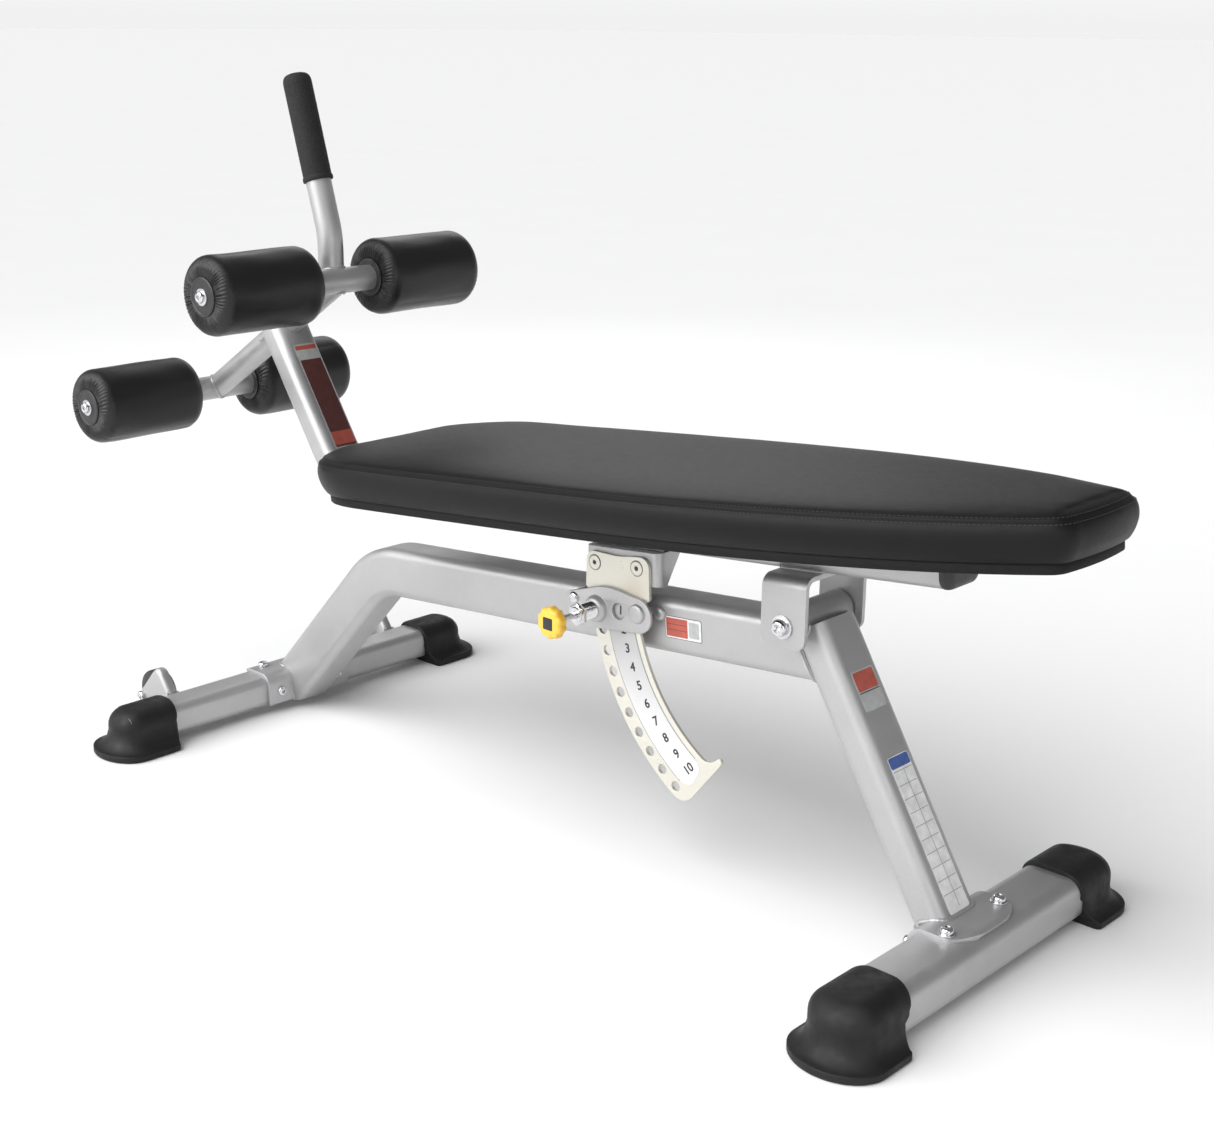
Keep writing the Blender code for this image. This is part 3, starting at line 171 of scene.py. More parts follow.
def steel(key, base):
    """Silver metallic powder coat: fine flake and orange peel."""
    t = Tree(key, (base, base, base * 1.01), 0.76, 0.46, Specular_IOR_Level=0.5, Coat_Weight=0.08, Coat_Roughness=0.35)
    flake = t.noise(2600.0, 1.0)
    cloud = t.noise(7.0, 4.0)
    both = t.math("ADD", t.math("MULTIPLY", flake, 0.65), t.math("MULTIPLY", cloud, 0.35))
    t.link(t.ramp(both, (0.25, (base * 0.80, base * 0.80, base * 0.81)), (0.75, (base * 1.16, base * 1.16, base * 1.17))), "Base Color")
    t.link(t.rng(t.noise(45.0, 4.0), 0.42, 0.54, 0.3, 0.7), "Roughness")
    t.bump((t.noise(380.0, 2.0), 0.10, 0.0006), (flake, 0.06, 0.0002))
    keep(key, t)


steel("steel_paint", 0.50)

t = Tree("bolt_chrome", (0.72, 0.72, 0.73), 1.0, 0.16)
t.link(t.rng(t.noise(220.0, 4.0), 0.10, 0.28, 0.3, 0.7), "Roughness")
t.link(t.ramp(t.noise(60.0, 4.0), (0.3, (0.62, 0.62, 0.64)), (0.7, (0.80, 0.80, 0.81))), "Base Color")
t.bump((t.noise(900.0, 2.0), 0.05, 0.0002))
keep("bolt_chrome", t)

t = Tree("plate_nickel", (0.80, 0.77, 0.69), 0.55, 0.30)
t.link(t.ramp(t.noise(9.0, 3.0, 0.5), (0.30, (0.70, 0.675, 0.60)), (0.70, (0.735, 0.712, 0.64))), "Base Color")
t.link(t.rng(t.noise(24.0, 3.0, 0.5), 0.26, 0.40, 0.3, 0.7), "Roughness")
t.bump((t.noise(160.0, 2.0), 0.03, 0.0002))
keep("plate_nickel", t)

t = Tree("strip_grey", (0.50, 0.50, 0.51), 0.0, 0.38)
# painted shade: the strip's colour is darker towards its top and lighter towards its bottom, with a little random tone
# added
shade_height = t.node("ShaderNodeSeparateXYZ", Vector=t.coord)
shade_and_tone = t.math("ADD", t.rng(shade_height.outputs["Z"], 1.0, 0.0, 0.12, 0.36), t.rng(t.noise(25.0, 4.0), -0.04, 0.04, 0.3, 0.7))
t.link(t.ramp(shade_and_tone, (0.0, (0.40, 0.40, 0.41)), (1.0, (0.78, 0.78, 0.78))), "Base Color")
t.bump((t.noise(1500.0, 2.0), 0.05, 0.0002))
keep("strip_grey", t)

t = Tree("foot_rubber", (0.022, 0.022, 0.023), 0.0, 0.55, Specular_IOR_Level=0.32)
t.link(t.ramp(t.noise(18.0, 5.0, 0.6), (0.3, (0.008, 0.008, 0.008)), (0.75, (0.015, 0.015, 0.0155))), "Base Color")
t.link(t.rng(t.noise(60.0, 4.0), 0.44, 0.66, 0.3, 0.7), "Roughness")
t.bump((t.noise(1300.0, 3.0, 0.7), 0.22, 0.0006), (t.noise(90.0, 2.0), 0.10, 0.0010))
keep("foot_rubber", t)

t = Tree("grip_foam", (0.016, 0.016, 0.017), 0.0, 0.74, Specular_IOR_Level=0.35)
t.link(t.ramp(t.noise(500.0, 3.0), (0.3, (0.010, 0.010, 0.010)), (0.7, (0.026, 0.026, 0.027))), "Base Color")
t.bump((t.voronoi(620.0, "F1"), 0.55, 0.0009), (t.noise(200.0, 3.0), 0.15, 0.001))
keep("grip_foam", t)

t = Tree("cap_plastic", (0.020, 0.020, 0.021), 0.0, 0.36)
t.link(t.rng(t.noise(120.0, 4.0), 0.30, 0.48, 0.3, 0.7), "Roughness")
t.bump((t.noise(900.0, 2.0), 0.08, 0.0003))
keep("cap_plastic", t)

t = Tree("knob_yellow", (0.92, 0.56, 0.06), 0.0, 0.34, Coat_Weight=0.2, Coat_Roughness=0.2)
t.link(t.ramp(t.noise(40.0, 4.0), (0.3, (0.86, 0.50, 0.045)), (0.7, (0.95, 0.60, 0.085))), "Base Color")
t.link(t.rng(t.noise(300.0, 3.0), 0.28, 0.45, 0.3, 0.7), "Roughness")
t.bump((t.noise(900.0, 2.0), 0.08, 0.0003))
keep("knob_yellow", t)


def vinyl(key, lo, hi, grain, rough=(0.34, 0.48), level=0.30):
    """Black vinyl with a leather grain: cells, fine creases and a soft sheen."""
    t = Tree(key, (hi, hi, hi), 0.0, 0.42, Specular_IOR_Level=level)
    cells = t.voronoi(grain)
    t.link(t.ramp(t.noise(30.0, 3.0, 0.5), (0.2, (lo, lo, lo * 1.03)), (0.8, (hi, hi, hi * 1.03))), "Base Color")
    t.link(t.rng(t.noise(140.0, 3.0, 0.5), rough[0], rough[1], 0.2, 0.8), "Roughness")
    t.bump((t.rng(cells, 0.0, 1.0, 0.0, 0.10), 0.30, 0.00035), (t.noise(grain * 3.0, 3.0, 0.6), 0.18, 0.0003), (t.noise(9.0, 1.0), 0.012, 0.004))
    keep(key, t)


vinyl("pad_vinyl", 0.0050, 0.0068, 620.0, (0.38, 0.45), 0.20)
vinyl("roller_vinyl", 0.009, 0.012, 700.0, (0.27, 0.33), 0.42)

t = Tree("thread", (0.035, 0.035, 0.036), 0.0, 0.6)
t.link(t.ramp(t.noise(3000.0, 2.0), (0.3, (0.02, 0.02, 0.02)), (0.7, (0.06, 0.06, 0.062))), "Base Color")
t.bump((t.noise(2500.0, 2.0), 0.2, 0.0002))
keep("thread", t)

t = Tree("board_black", (0.012, 0.012, 0.012), 0.0, 0.62, Specular_IOR_Level=0.25)
grain = t.node("ShaderNodeMapping", Vector=t.coord)
grain.inputs["Scale"].default_value = (14.0, 260.0, 260.0)
t.link(t.ramp(t.noise(1.0, 5.0, 0.6, grain.outputs[0]), (0.3, (0.003, 0.003, 0.003)), (0.7, (0.008, 0.0078, 0.0075))), "Base Color")
t.bump((t.noise(1.0, 5.0, 0.6, grain.outputs[0]), 0.25, 0.0006))
keep("board_black", t)

t = Tree("spring_wire", (0.42, 0.42, 0.43), 1.0, 0.30)
t.link(t.rng(t.noise(400.0, 3.0), 0.22, 0.42, 0.3, 0.7), "Roughness")
keep("spring_wire", t)

t = Tree("bush_bronze", (0.50, 0.35, 0.17), 1.0, 0.38)
t.link(t.ramp(t.noise(300.0, 3.0), (0.3, (0.40, 0.27, 0.12)), (0.7, (0.58, 0.42, 0.22))), "Base Color")
t.bump((t.noise(900.0, 2.0), 0.1, 0.0003))
keep("bush_bronze", t)


def ink(key, colour, rough=0.45):
    t = Tree(key, colour, 0.0, rough)
    lo = tuple(c * 0.86 for c in colour)
    hi = tuple(min(1.0, c * 1.10) for c in colour)
    t.link(t.ramp(t.noise(90.0, 4.0), (0.3, lo), (0.7, hi)), "Base Color")
    t.link(t.rng(t.noise(200.0, 3.0), rough - 0.08, rough + 0.1, 0.3, 0.7), "Roughness")
    keep(key, t)


ink("ink_black", (0.020, 0.020, 0.022))
ink("label_white", (0.78, 0.78, 0.78))
ink("label_grey", (0.46, 0.47, 0.47))
ink("label_line", (0.30, 0.30, 0.31))
ink("label_red", (0.48, 0.10, 0.07))
ink("label_dark_red", (0.11, 0.035, 0.030))
ink("label_blue", (0.06, 0.12, 0.36))


# ------------------------------------------------------------------ helpers
def smooth(obj, deg):
    obj.data.shade_smooth()
    obj.data.set_sharp_from_angle(angle=math.radians(deg))


def piece(name, verts, faces, mat, body, nodes=(), deg=40.0, helper=False, split=False, metres=False):
    mesh = bpy.data.meshes.new(name)
    mesh.from_pydata([tuple(v) if metres else tuple(P(*v)) for v in verts], [], faces)
    bm = bmesh.new()
    bm.from_mesh(mesh)
    bmesh.ops.recalc_face_normals(bm, faces=bm.faces)
    if split:
        bmesh.ops.triangulate(bm, faces=bm.faces)
    bm.to_mesh(mesh)
    bm.free()
    obj = bpy.data.objects.new(name, mesh)
    bpy.context.scene.collection.objects.link(obj)
    if helper:
        return obj
    finish_piece(obj, mat, body, nodes, deg)
    return obj


def finish_piece(obj, mat, body, nodes=(), deg=40.0):
    obj.data.materials.clear()
    obj.data.materials.append(M[mat])
    smooth(obj, deg)
    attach(obj, body)
    if nodes:
        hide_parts(*nodes)


def apply_all(obj):
    """Makes the modifiers' result the object's own mesh."""
    bpy.context.view_layer.update()
    graph = bpy.context.evaluated_depsgraph_get()
    mesh = bpy.data.meshes.new_from_object(obj.evaluated_get(graph))
    old = obj.data
    obj.modifiers.clear()
    obj.data = mesh
    mesh.name = obj.name
    if old.users == 0:
        bpy.data.meshes.remove(old)


def carve(obj, *tools, operation="DIFFERENCE"):
    for tool in tools:
        mod = obj.modifiers.new("cut", "BOOLEAN")
        mod.operation = operation
        mod.solver = "EXACT"
        mod.object = tool
    apply_all(obj)


HELPERS = []


def tool(obj):
    HELPERS.append(obj)
    obj.hide_render = True
    return obj


def soften(obj, width, segments=3, angle=35.0):
    mod = obj.modifiers.new("soft edge", "BEVEL")
    mod.width = width * MM
    mod.segments = segments
    mod.limit_method = "ANGLE"
    mod.angle_limit = math.radians(angle)
    mod.harden_normals = False
    apply_all(obj)


def rounded_rect(w, h, r, n=8):
    pts = []
    for ca, cb, start in ((w / 2 - r, h / 2 - r, 0), (-w / 2 + r, h / 2 - r, 90), (-w / 2 + r, -h / 2 + r, 180), (w / 2 - r, -h / 2 + r, 270)):
        for k in range(n + 1):
            a = math.radians(start + 90.0 * k / n)
            pts.append((ca + r * math.cos(a), cb + r * math.sin(a)))
    return pts


def circle(r, n=64):
    return [(r * math.cos(2 * math.pi * k / n), r * math.sin(2 * math.pi * k / n)) for k in range(n)]


def ring_faces(a, b, n):
    return [(a + k, a + (k + 1) % n, b + (k + 1) % n, b + k) for k in range(n)]


def sweep(name, path, outline, mat, body, nodes=(), normals=None, helper=False, inner=None):
    verts, faces = [], []
    count = len(path)
    for ring in [outline] + ([inner] if inner else []):
        for k, (px, pz) in enumerate(path):
            p0, p1 = path[max(k - 1, 0)], path[min(k + 1, count - 1)]
            t = Vector((p1[0] - p0[0], p1[1] - p0[1])).normalized()
            nrm = Vector((-t.y, t.x))
            plane = None
            if normals and k == 0:
                plane = normals[0]
            if normals and k == count - 1:
                plane = normals[1]
            for a, b in ring:
                q = Vector((px, pz)) + nrm * b
                if plane is not None:
                    pl = Vector(plane)
                    q = q - t * ((q - Vector((px, pz))).dot(pl) / t.dot(pl))
                verts.append((q.x, a, q.y))
    n = len(outline)
    for k in range(count - 1):
        faces += ring_faces(k * n, (k + 1) * n, n)
    last = (count - 1) * n
    if inner:
        base = count * n
        for k in range(count - 1):
            faces += ring_faces(base + k * n, base + (k + 1) * n, n)
        faces += ring_faces(0, base, n) + ring_faces(last, base + last, n)
    else:
        faces += [tuple(range(n)), tuple(last + k for k in range(n))]
    return piece(name, verts, faces, mat, body, nodes, helper=helper)


def bent_path(p0, corner, p1, radius, steps=24):
    a = Vector((p0[0] - corner[0], p0[1] - corner[1])).normalized()
    b = Vector((p1[0] - corner[0], p1[1] - corner[1])).normalized()
    half = 0.5 * math.acos(max(-1.0, min(1.0, a.dot(b))))
    length = radius / math.tan(half)
    centre = Vector(corner) + (a + b).normalized() * (radius / math.sin(half))
    start, end = Vector(corner) + a * length, Vector(corner) + b * length
    v0, v1 = start - centre, end - centre
    a0 = math.atan2(v0.y, v0.x)
    turn = math.atan2(v0.x * v1.y - v0.y * v1.x, v0.dot(v1))
    pts = [tuple(p0)]
    for k in range(steps + 1):
        ang = a0 + turn * k / steps
        pts.append((centre.x + radius * math.cos(ang), centre.y + radius * math.sin(ang)))
    pts.append(tuple(p1))
    return pts


def prism(name, outline, y0, y1, mat="steel_paint", body="base", nodes=(), axis="Y", helper=False):
    n = len(outline)
    if axis == "Y":
        verts = [(x, y0, z) for x, z in outline] + [(x, y1, z) for x, z in outline]
    else:
        verts = [(x, y, y0) for x, y in outline] + [(x, y, y1) for x, y in outline]
    faces = [tuple(range(n)), tuple(range(2 * n - 1, n - 1, -1))] + ring_faces(0, n, n)
    return piece(name, verts, faces, mat, body, nodes, helper=helper)


def plate(name, outline, holes, y0, y1, mat, body, nodes=(), bevel=0.7):
    """A flat plate in the XZ plane with round holes (x, z, radius), edges eased."""
    curve = bpy.data.curves.new(name, "CURVE")
    curve.dimensions = "2D"
    curve.fill_mode = "BOTH"
    curve.extrude = (0.5 * abs(y1 - y0) - bevel) * MM
    curve.bevel_depth = bevel * MM
    curve.bevel_resolution = 3
    curve.offset = -bevel * MM
    loops = [outline] + [[(hx + a, hz + b) for a, b in circle(hr, 48)] for hx, hz, hr in holes]
    for loop in loops:
        s = curve.splines.new("POLY")
        s.points.add(len(loop) - 1)
        for k, (x, z) in enumerate(loop):
            s.points[k].co = ((x - X_MID) * MM, z * MM, 0.0, 1.0)
        s.use_cyclic_u = True
    tmp = bpy.data.objects.new(name + "_outline", curve)
    bpy.context.scene.collection.objects.link(tmp)
    tmp.rotation_euler = (math.radians(90), 0, 0)
    tmp.location = (0, 0.5 * (y0 + y1) * MM, 0)
    bpy.context.view_layer.update()
    mesh = bpy.data.meshes.new_from_object(tmp.evaluated_get(bpy.context.evaluated_depsgraph_get()))
    mesh.transform(tmp.matrix_world)
    bpy.data.objects.remove(tmp, do_unlink=True)
    bm = bmesh.new()
    bm.from_mesh(mesh)
    bmesh.ops.remove_doubles(bm, verts=bm.verts, dist=2e-6)
    bmesh.ops.recalc_face_normals(bm, faces=bm.faces)
    bm.to_mesh(mesh)
    bm.free()
    obj = bpy.data.objects.new(name, mesh)
    bpy.context.scene.collection.objects.link(obj)
    finish_piece(obj, mat, body, nodes, 12.0)
    return obj


def hex_radius(flats, angle):
    step = math.radians(60)
    return 0.5 * flats / math.cos((angle % step) - step / 2)


def turned(name, profile, centre, direction, mat, body, nodes=(), n=64, helper=False, deg=35.0, wobble=None):
    d = Vector(direction).normalized()
    u = Vector((0, 0, 1)) if abs(d.z) < 0.9 else Vector((1, 0, 0))
    u = (u - d * u.dot(d)).normalized()
    w = d.cross(u)
    c = Vector(centre)
    loop = profile[0] == profile[-1]
    rows = profile[:-1] if loop else profile
    verts, faces, index = [], [], []
    for r, along in rows:
        if r == 0:
            index.append((len(verts), 1))
            verts.append(tuple(c + d * along))
            continue
        index.append((len(verts), n))
        for k in range(n):
            ang = 2 * math.pi * k / n
            rr = hex_radius(r[1], ang) if isinstance(r, tuple) else r
            dr, dz = wobble(rr, along, ang) if wobble else (0.0, 0.0)
            verts.append(tuple(c + d * (along + dz) + u * ((rr + dr) * math.cos(ang)) + w * ((rr + dr) * math.sin(ang))))
    pairs = list(zip(index[:-1], index[1:])) + ([(index[-1], index[0])] if loop else [])
    for (a, na), (b, nb) in pairs:
        if na == 1 and nb == 1:
            continue
        if na == 1:
            faces += [(a, b + k, b + (k + 1) % n) for k in range(n)]
        elif nb == 1:
            faces += [(a + (k + 1) % n, a + k, b) for k in range(n)]
        else:
            faces += ring_faces(a, b, n)
    return piece(name, verts, faces, mat, body, nodes, deg=deg, helper=helper)


def dome(head_r, head_h, n=8):
    """Rows from the rim of a button head up to its flat top."""
    return [(head_r * (0.60 + 0.40 * math.sin(math.radians(a))), head_h * (0.22 + 0.78 * math.cos(math.radians(a)))) for a in [90.0 * k / n for k in range(n + 1)]]


def button_bolt(name, centre, direction, head_r, head_h, shank_r, shank_l, body, nodes, washer=None, mat="bolt_chrome"):
    """A round head with a hexagon socket, an optional washer, and its shank."""
    flats = head_r * 0.80
    deep = head_h * 0.30
    rows = [(0, deep - 0.3), (("hex", flats * 0.92), deep), (("hex", flats), deep + 0.4), (("hex", flats), head_h - 0.35), (("hex", flats + 0.7), head_h)]
    rows += dome(head_r, head_h)
    rows += [(head_r, head_h * 0.18), (head_r * 0.985, 0.3)]
    if washer:
        wr, wt = washer
        rows = [(r, a + wt) for r, a in rows]
        rows += [(head_r * 0.985, wt), (wr - 0.6, wt), (wr - 0.15, wt - 0.15), (wr, wt - 0.5), (wr, 0.4), (wr - 0.3, 0.0)]
    rows += [(shank_r, 0.0), (shank_r, -shank_l), (0, -shank_l)]
    return turned(name, rows, centre, direction, mat, body, nodes, n=60)


def hull(points):
    pts = sorted(set((round(x, 5), round(y, 5)) for x, y in points))

    def half(seq):
        out = []
        for p in seq:
            while len(out) > 1 and ((out[-1][0] - out[-2][0]) * (p[1] - out[-2][1]) - (out[-1][1] - out[-2][1]) * (p[0] - out[-2][0])) <= 1e-6:
                out.pop()
            out.append(p)
        return out[:-1]

    return half(pts) + half(pts[::-1])


def rounded_polygon(corners, n=10):
    pts = []
    m = len(corners)
    for k in range(m):
        x, z, r = corners[k]
        if r <= 0:
            pts.append((x, z))
            continue
        p = Vector((x, z))
        a = (Vector(corners[k - 1][:2]) - p).normalized()
        b = (Vector(corners[(k + 1) % m][:2]) - p).normalized()
        half = 0.5 * math.acos(max(-1.0, min(1.0, a.dot(b))))
        length = r / math.tan(half)
        centre = p + (a + b).normalized() * (r / math.sin(half))
        v0, v1 = p + a * length - centre, p + b * length - centre
        a0 = math.atan2(v0.y, v0.x)
        turn = math.atan2(v0.x * v1.y - v0.y * v1.x, v0.dot(v1))
        for s in range(n + 1):
            ang = a0 + turn * s / n
            pts.append((centre.x + r * math.cos(ang), centre.y + r * math.sin(ang)))
    return pts


def rect_ring(tube, grow, n=8):
    return [(tube["x"] + a, tube["z"] + b) for a, b in rounded_rect(tube["w"] + 2 * grow, tube["h"] + 2 * grow, tube["r"] + grow, n)]


def resample(points, step, closed=True):
    """Points at an even spacing along a polyline."""
    pts = [Vector(p) for p in points]
    if closed:
        pts.append(pts[0])
    lengths = [0.0]
    for a, b in zip(pts, pts[1:]):
        lengths.append(lengths[-1] + (b - a).length)
    total = lengths[-1]
    count = max(6, int(round(total / step)))
    out, j = [], 0
    for k in range(count + (0 if closed else 1)):
        s = total * k / count
        while j < len(lengths) - 2 and lengths[j + 1] < s:
            j += 1
        span = lengths[j + 1] - lengths[j]
        out.append(pts[j].lerp(pts[j + 1], (s - lengths[j]) / span if span > 0 else 0.0))
    return out


def ring_normals(ring):
    out = []
    m = len(ring)
    for k in range(m):
        t = (Vector(ring[(k + 1) % m]) - Vector(ring[k - 1])).normalized()
        out.append(Vector((-t.y, t.x)))
    return out


def weld(name, points, body, radius=2.6, closed=True, sides=10):
    """A rippled weld bead along a line of points (x, y, z)."""
    line = resample(points, 1.5, closed)
    n = len(line)
    verts, faces = [], []
    for k, p in enumerate(line):
        q0 = line[(k - 1) % n] if closed else line[max(k - 1, 0)]
        q1 = line[(k + 1) % n] if closed else line[min(k + 1, n - 1)]
        t = (q1 - q0).normalized()
        u = t.orthogonal().normalized() if abs(t.y) > 0.95 else t.cross(Vector((0, 1, 0))).normalized()
        w = t.cross(u)
        r = radius * (1.0 + 0.10 * math.sin(k * 1.9) + 0.05 * math.sin(k * 0.37 + 1.0))
        if not closed and k in (0, n - 1):
            r *= 0.3
        for m in range(sides):
            a = 2 * math.pi * m / sides
            verts.append(tuple(p + u * (r * math.cos(a)) + w * (r * math.sin(a))))
    for k in range(n if closed else n - 1):
        faces += ring_faces(k * sides, ((k + 1) % n) * sides, sides)
    if not closed:
        faces += [tuple(range(sides)), tuple((n - 1) * sides + m for m in range(sides))]
    return piece(name, verts, faces, "steel_paint", body, deg=180.0)


SIDES = (("right", -1), ("left", 1))

# --------------------------------------------------------------- base tubes
for name, tube in (("front_base_tube", FRONT_TUBE), ("rear_base_tube", REAR_TUBE)):
    obj = prism(name + "_skin", rect_ring(tube, 0.0, 10), -tube["half"], tube["half"], nodes=(name,))


def foot(name, tube, side, inner_y, centre_y, half_w, end_b, hood_w, hood_in, hood_c, hood_b, top):
    """Moulded rubber foot: sole with an upright rim, a hollow waist, a domed hood."""
    waist_b = hood_c + hood_b - centre_y
    step_in = half_w - hood_w
    levels = [(0.0, half_w - 3.0, inner_y + 1.5, centre_y, end_b - 3.0), (1.0, half_w - 0.9, inner_y + 0.4, centre_y, end_b - 0.9), (2.6, half_w, inner_y, centre_y, end_b),
              (9.6, half_w, inner_y, centre_y, end_b), (10.3, half_w - 0.35, inner_y - 0.05, centre_y, end_b - 0.4), (10.7, half_w - 1.3, inner_y - 0.1, centre_y, end_b - 1.5)]
    for f in (0.14, 0.28, 0.42, 0.56, 0.70, 0.84, 1.0):
        # a hollow quarter ellipse from the sole up to the hood
        rise = 10.7 + 25.0 * (1.0 - math.sqrt(1.0 - f * f)) ** 0.85
        a_half = half_w - 1.3 - (step_in - 1.3) * f
        levels.append((rise, a_half, inner_y - 0.1 - 9.0 * f, centre_y + (hood_c - centre_y) * f, (end_b - 1.5) + (hood_b - end_b + 1.5) * f))
    levels.append((0.5 * (36.0 + top - 27.0), hood_w, hood_in + 0.3 * (inner_y - hood_in), hood_c, hood_b))
    for drop in (27.0, 22.0, 17.5, 13.5, 10.0, 7.2, 4.8, 3.0, 1.6, 0.6, 0.0):
        give = 27.0 - math.sqrt(27.0 ** 2 - (27.0 - drop) ** 2)
        lean = (1.0 - drop / 27.0) ** 0.5
        levels.append((top - drop, hood_w - give, hood_in + 0.3 * (inner_y - hood_in) * (1.0 - lean) + (0.0 if drop else 0.6), hood_c, hood_b - 1.25 * give))
    levels = [lv + (max(2.5, min(7.0, lv[1] - 4.0)),) for lv in levels]
    verts, faces = [], []
    n_end, n_in = 41, 7
    count = n_end + 2 * n_in + 8
    for z, a, yi, yc, b, rc in levels:
        row = []
        for k in range(n_end):
            ang = math.pi * k / (n_end - 1)
            row.append((a * math.cos(ang), yc + b * math.sin(ang)))
        for k in range(n_in):
            ang = math.radians(180 + 90 * k / (n_in - 1))
            row.append((-a + rc + rc * math.cos(ang), yi + rc + rc * math.sin(ang)))
        for k in range(1, 9):
            row.append((-a + rc + (2 * a - 2 * rc) * k / 9, yi))
        for k in range(n_in):
            ang = math.radians(270 + 90 * k / (n_in - 1))
            row.append((a - rc + rc * math.cos(ang), yi + rc + rc * math.sin(ang)))
        verts += [(tube["x"] + x, side * y, z) for x, y in row]
    for k in range(len(levels) - 1):
        faces += ring_faces(k * count, (k + 1) * count, count)
    faces.append(tuple(range(count)))
    last = (len(levels) - 1) * count
    faces.append(tuple(last + k for k in range(count)))
    obj = piece(name + "_skin", verts, faces, "foot_rubber", "base", (name,), deg=58.0)
    # an outline for a moulded lip where the hood ends on the tube; it is computed but not built
    edge = [(tube["x"] + a, z) for a, z in rounded_rect(tube["w"] + 3.0, tube["h"] + 3.0, tube["r"] + 1.5, 8)]
    return obj


for label, side in SIDES:
    foot("front_foot_" + label, FRONT_TUBE, side, 203.0, 256.0, 62.0, 50.0, 45.0, 180.0, 247.0, 36.0, 75.5)
    foot("rear_foot_" + label, REAR_TUBE, side, 262.0, 325.0, 58.0, 44.0, 38.0, 250.0, 312.0, 34.0, 69.0)


# --------------------------------------------------------- saddles and bolts
def saddle_band(tube, rear_z, front, n=14):
    cx0, cx1 = tube["x"] - tube["w"] / 2 + tube["r"], tube["x"] + tube["w"] / 2 - tube["r"]
    cz = tube["z"] + tube["h"] / 2 - tube["r"]
    lines = []
    for grow in (-0.2, 0.3 + SADDLE_T):
        r = tube["r"] + grow
        line = []
        if rear_z is not None:
            line.append((cx0 - r, rear_z))
            line += [(cx0 + r * math.cos(math.radians(180 - 90 * k / n)), cz + r * math.sin(math.radians(180 - 90 * k / n))) for k in range(n + 1)]
        else:
            line.append((cx0 - 0.55 * r, cz + math.sqrt(1 - 0.55 ** 2) * r))
            line.append((cx0 - 0.25 * r, cz + math.sqrt(1 - 0.25 ** 2) * r))
            line.append((cx0, cz + r))
        stop = front[1] if front[0] == "top" else 0.0
        line += [(cx1 + r * math.cos(math.radians(90 - (90 - stop) * k / n)), cz + r * math.sin(math.radians(90 - (90 - stop) * k / n))) for k in range(n + 1)]
        if front[0] == "face":
            line.append((cx1 + r, front[1]))
        lines.append(line)
    return lines[0] + lines[1][::-1]


FS_HALF, RS_HALF = 68.0, 80.0
front_saddle = prism("front_saddle_skin", saddle_band(FRONT_TUBE, 30.0, ("top", 68.0)), -FS_HALF, FS_HALF, helper=True)
plan = [(-60.0, -FS_HALF + 8), (-52.0, -FS_HALF + 1.0)]
plan += [(6.0 + 26.0 * math.cos(math.radians(a)), (FS_HALF - 1.0) * math.sin(math.radians(a))) for a in range(-90, 91, 5)]
plan += [(-52.0, FS_HALF - 1.0), (-60.0, FS_HALF - 8)]
carve(front_saddle, tool(prism("front_saddle_plan", plan, 10.0, 95.0, axis="Z", helper=True)), operation="INTERSECT")
soften(front_saddle, 0.9, 3, 40)
finish_piece(front_saddle, "steel_paint", "base", ("front_saddle",))
rear_saddle = prism("rear_saddle_skin", saddle_band(REAR_TUBE, None, ("face", 16.0)), -RS_HALF, RS_HALF, helper=True)
soften(rear_saddle, 0.9, 3, 40)
finish_piece(rear_saddle, "steel_paint", "base", ("rear_saddle",))

top_f = FRONT_TUBE["z"] + FRONT_TUBE["h"] / 2 + 0.3 + SADDLE_T
top_r = REAR_TUBE["z"] + REAR_TUBE["h"] / 2 + 0.3 + SADDLE_T
face_r = REAR_TUBE["x"] + REAR_TUBE["w"] / 2 + 0.3 + SADDLE_T
back_f = FRONT_TUBE["x"] - FRONT_TUBE["w"] / 2 - 0.3 - SADDLE_T
for label, side in SIDES:
    y = side * 56.0
    for name, centre, d, hr, hh, wash in (
        ("front_saddle_bolt_", (2.0, y, top_f), (0, 0, 1), 8.5, 6.5, (10.5, 2.0)),
        ("front_saddle_rear_bolt_", (back_f, y, 46.0), (-1, 0, 0), 8.5, 6.5, (10.5, 2.0)),
        ("rear_saddle_top_bolt_", (REAR_TUBE["x"] - 12.0, y, top_r), (0, 0, 1), 8.5, 6.5, None),
        ("rear_saddle_front_bolt_", (face_r, y, 36.0), (1, 0, 0), 8.0, 5.5, None),
    ):
        button_bolt(name + label + "_skin", centre, d, hr, hh, 4.7, 12.0, "base", (name + label,), washer=wash)

# ------------------------------------------------------- main beam and leg
tan_d = math.tan(math.radians(DESC_DEG))
corner_x = (BEAM_Z0 - BEAM_SLOPE * BEAM_X0 - DESC_Z0 + tan_d * DESC_X0) / (tan_d - BEAM_SLOPE)
corner = (corner_x, BEAM_Z0 + BEAM_SLOPE * (corner_x - BEAM_X0))
low = (DESC_X0 - (DESC_Z0 + 25.0) / tan_d, -25.0)
leg_nrm = Vector((1.0, LEG_SLOPE)).normalized()
back_pt = Vector((LEG_X0, LEG_Z0)) - leg_nrm * (LEG_H / 2 - 4.0)
t_beam = Vector((1.0, BEAM_SLOPE))
s = (back_pt - Vector((BEAM_X0, BEAM_Z0))).dot(leg_nrm) / t_beam.dot(leg_nrm)
beam_end = (BEAM_X0 + s, BEAM_Z0 + s * BEAM_SLOPE)
beam = sweep("main_beam_skin", bent_path(beam_end, corner, low, BEAM_BEND_R, 28), rounded_rect(BEAM_W, BEAM_H, BEAM_R, 10),
             "steel_paint", "base", normals=((leg_nrm.x, leg_nrm.y), None), helper=True)
rr = REAR_TUBE["r"] + SADDLE_T
arc = [(face_r - rr + rr * math.cos(math.radians(a)), top_r - rr + rr * math.sin(math.radians(a))) for a in range(0, 91, 6)]
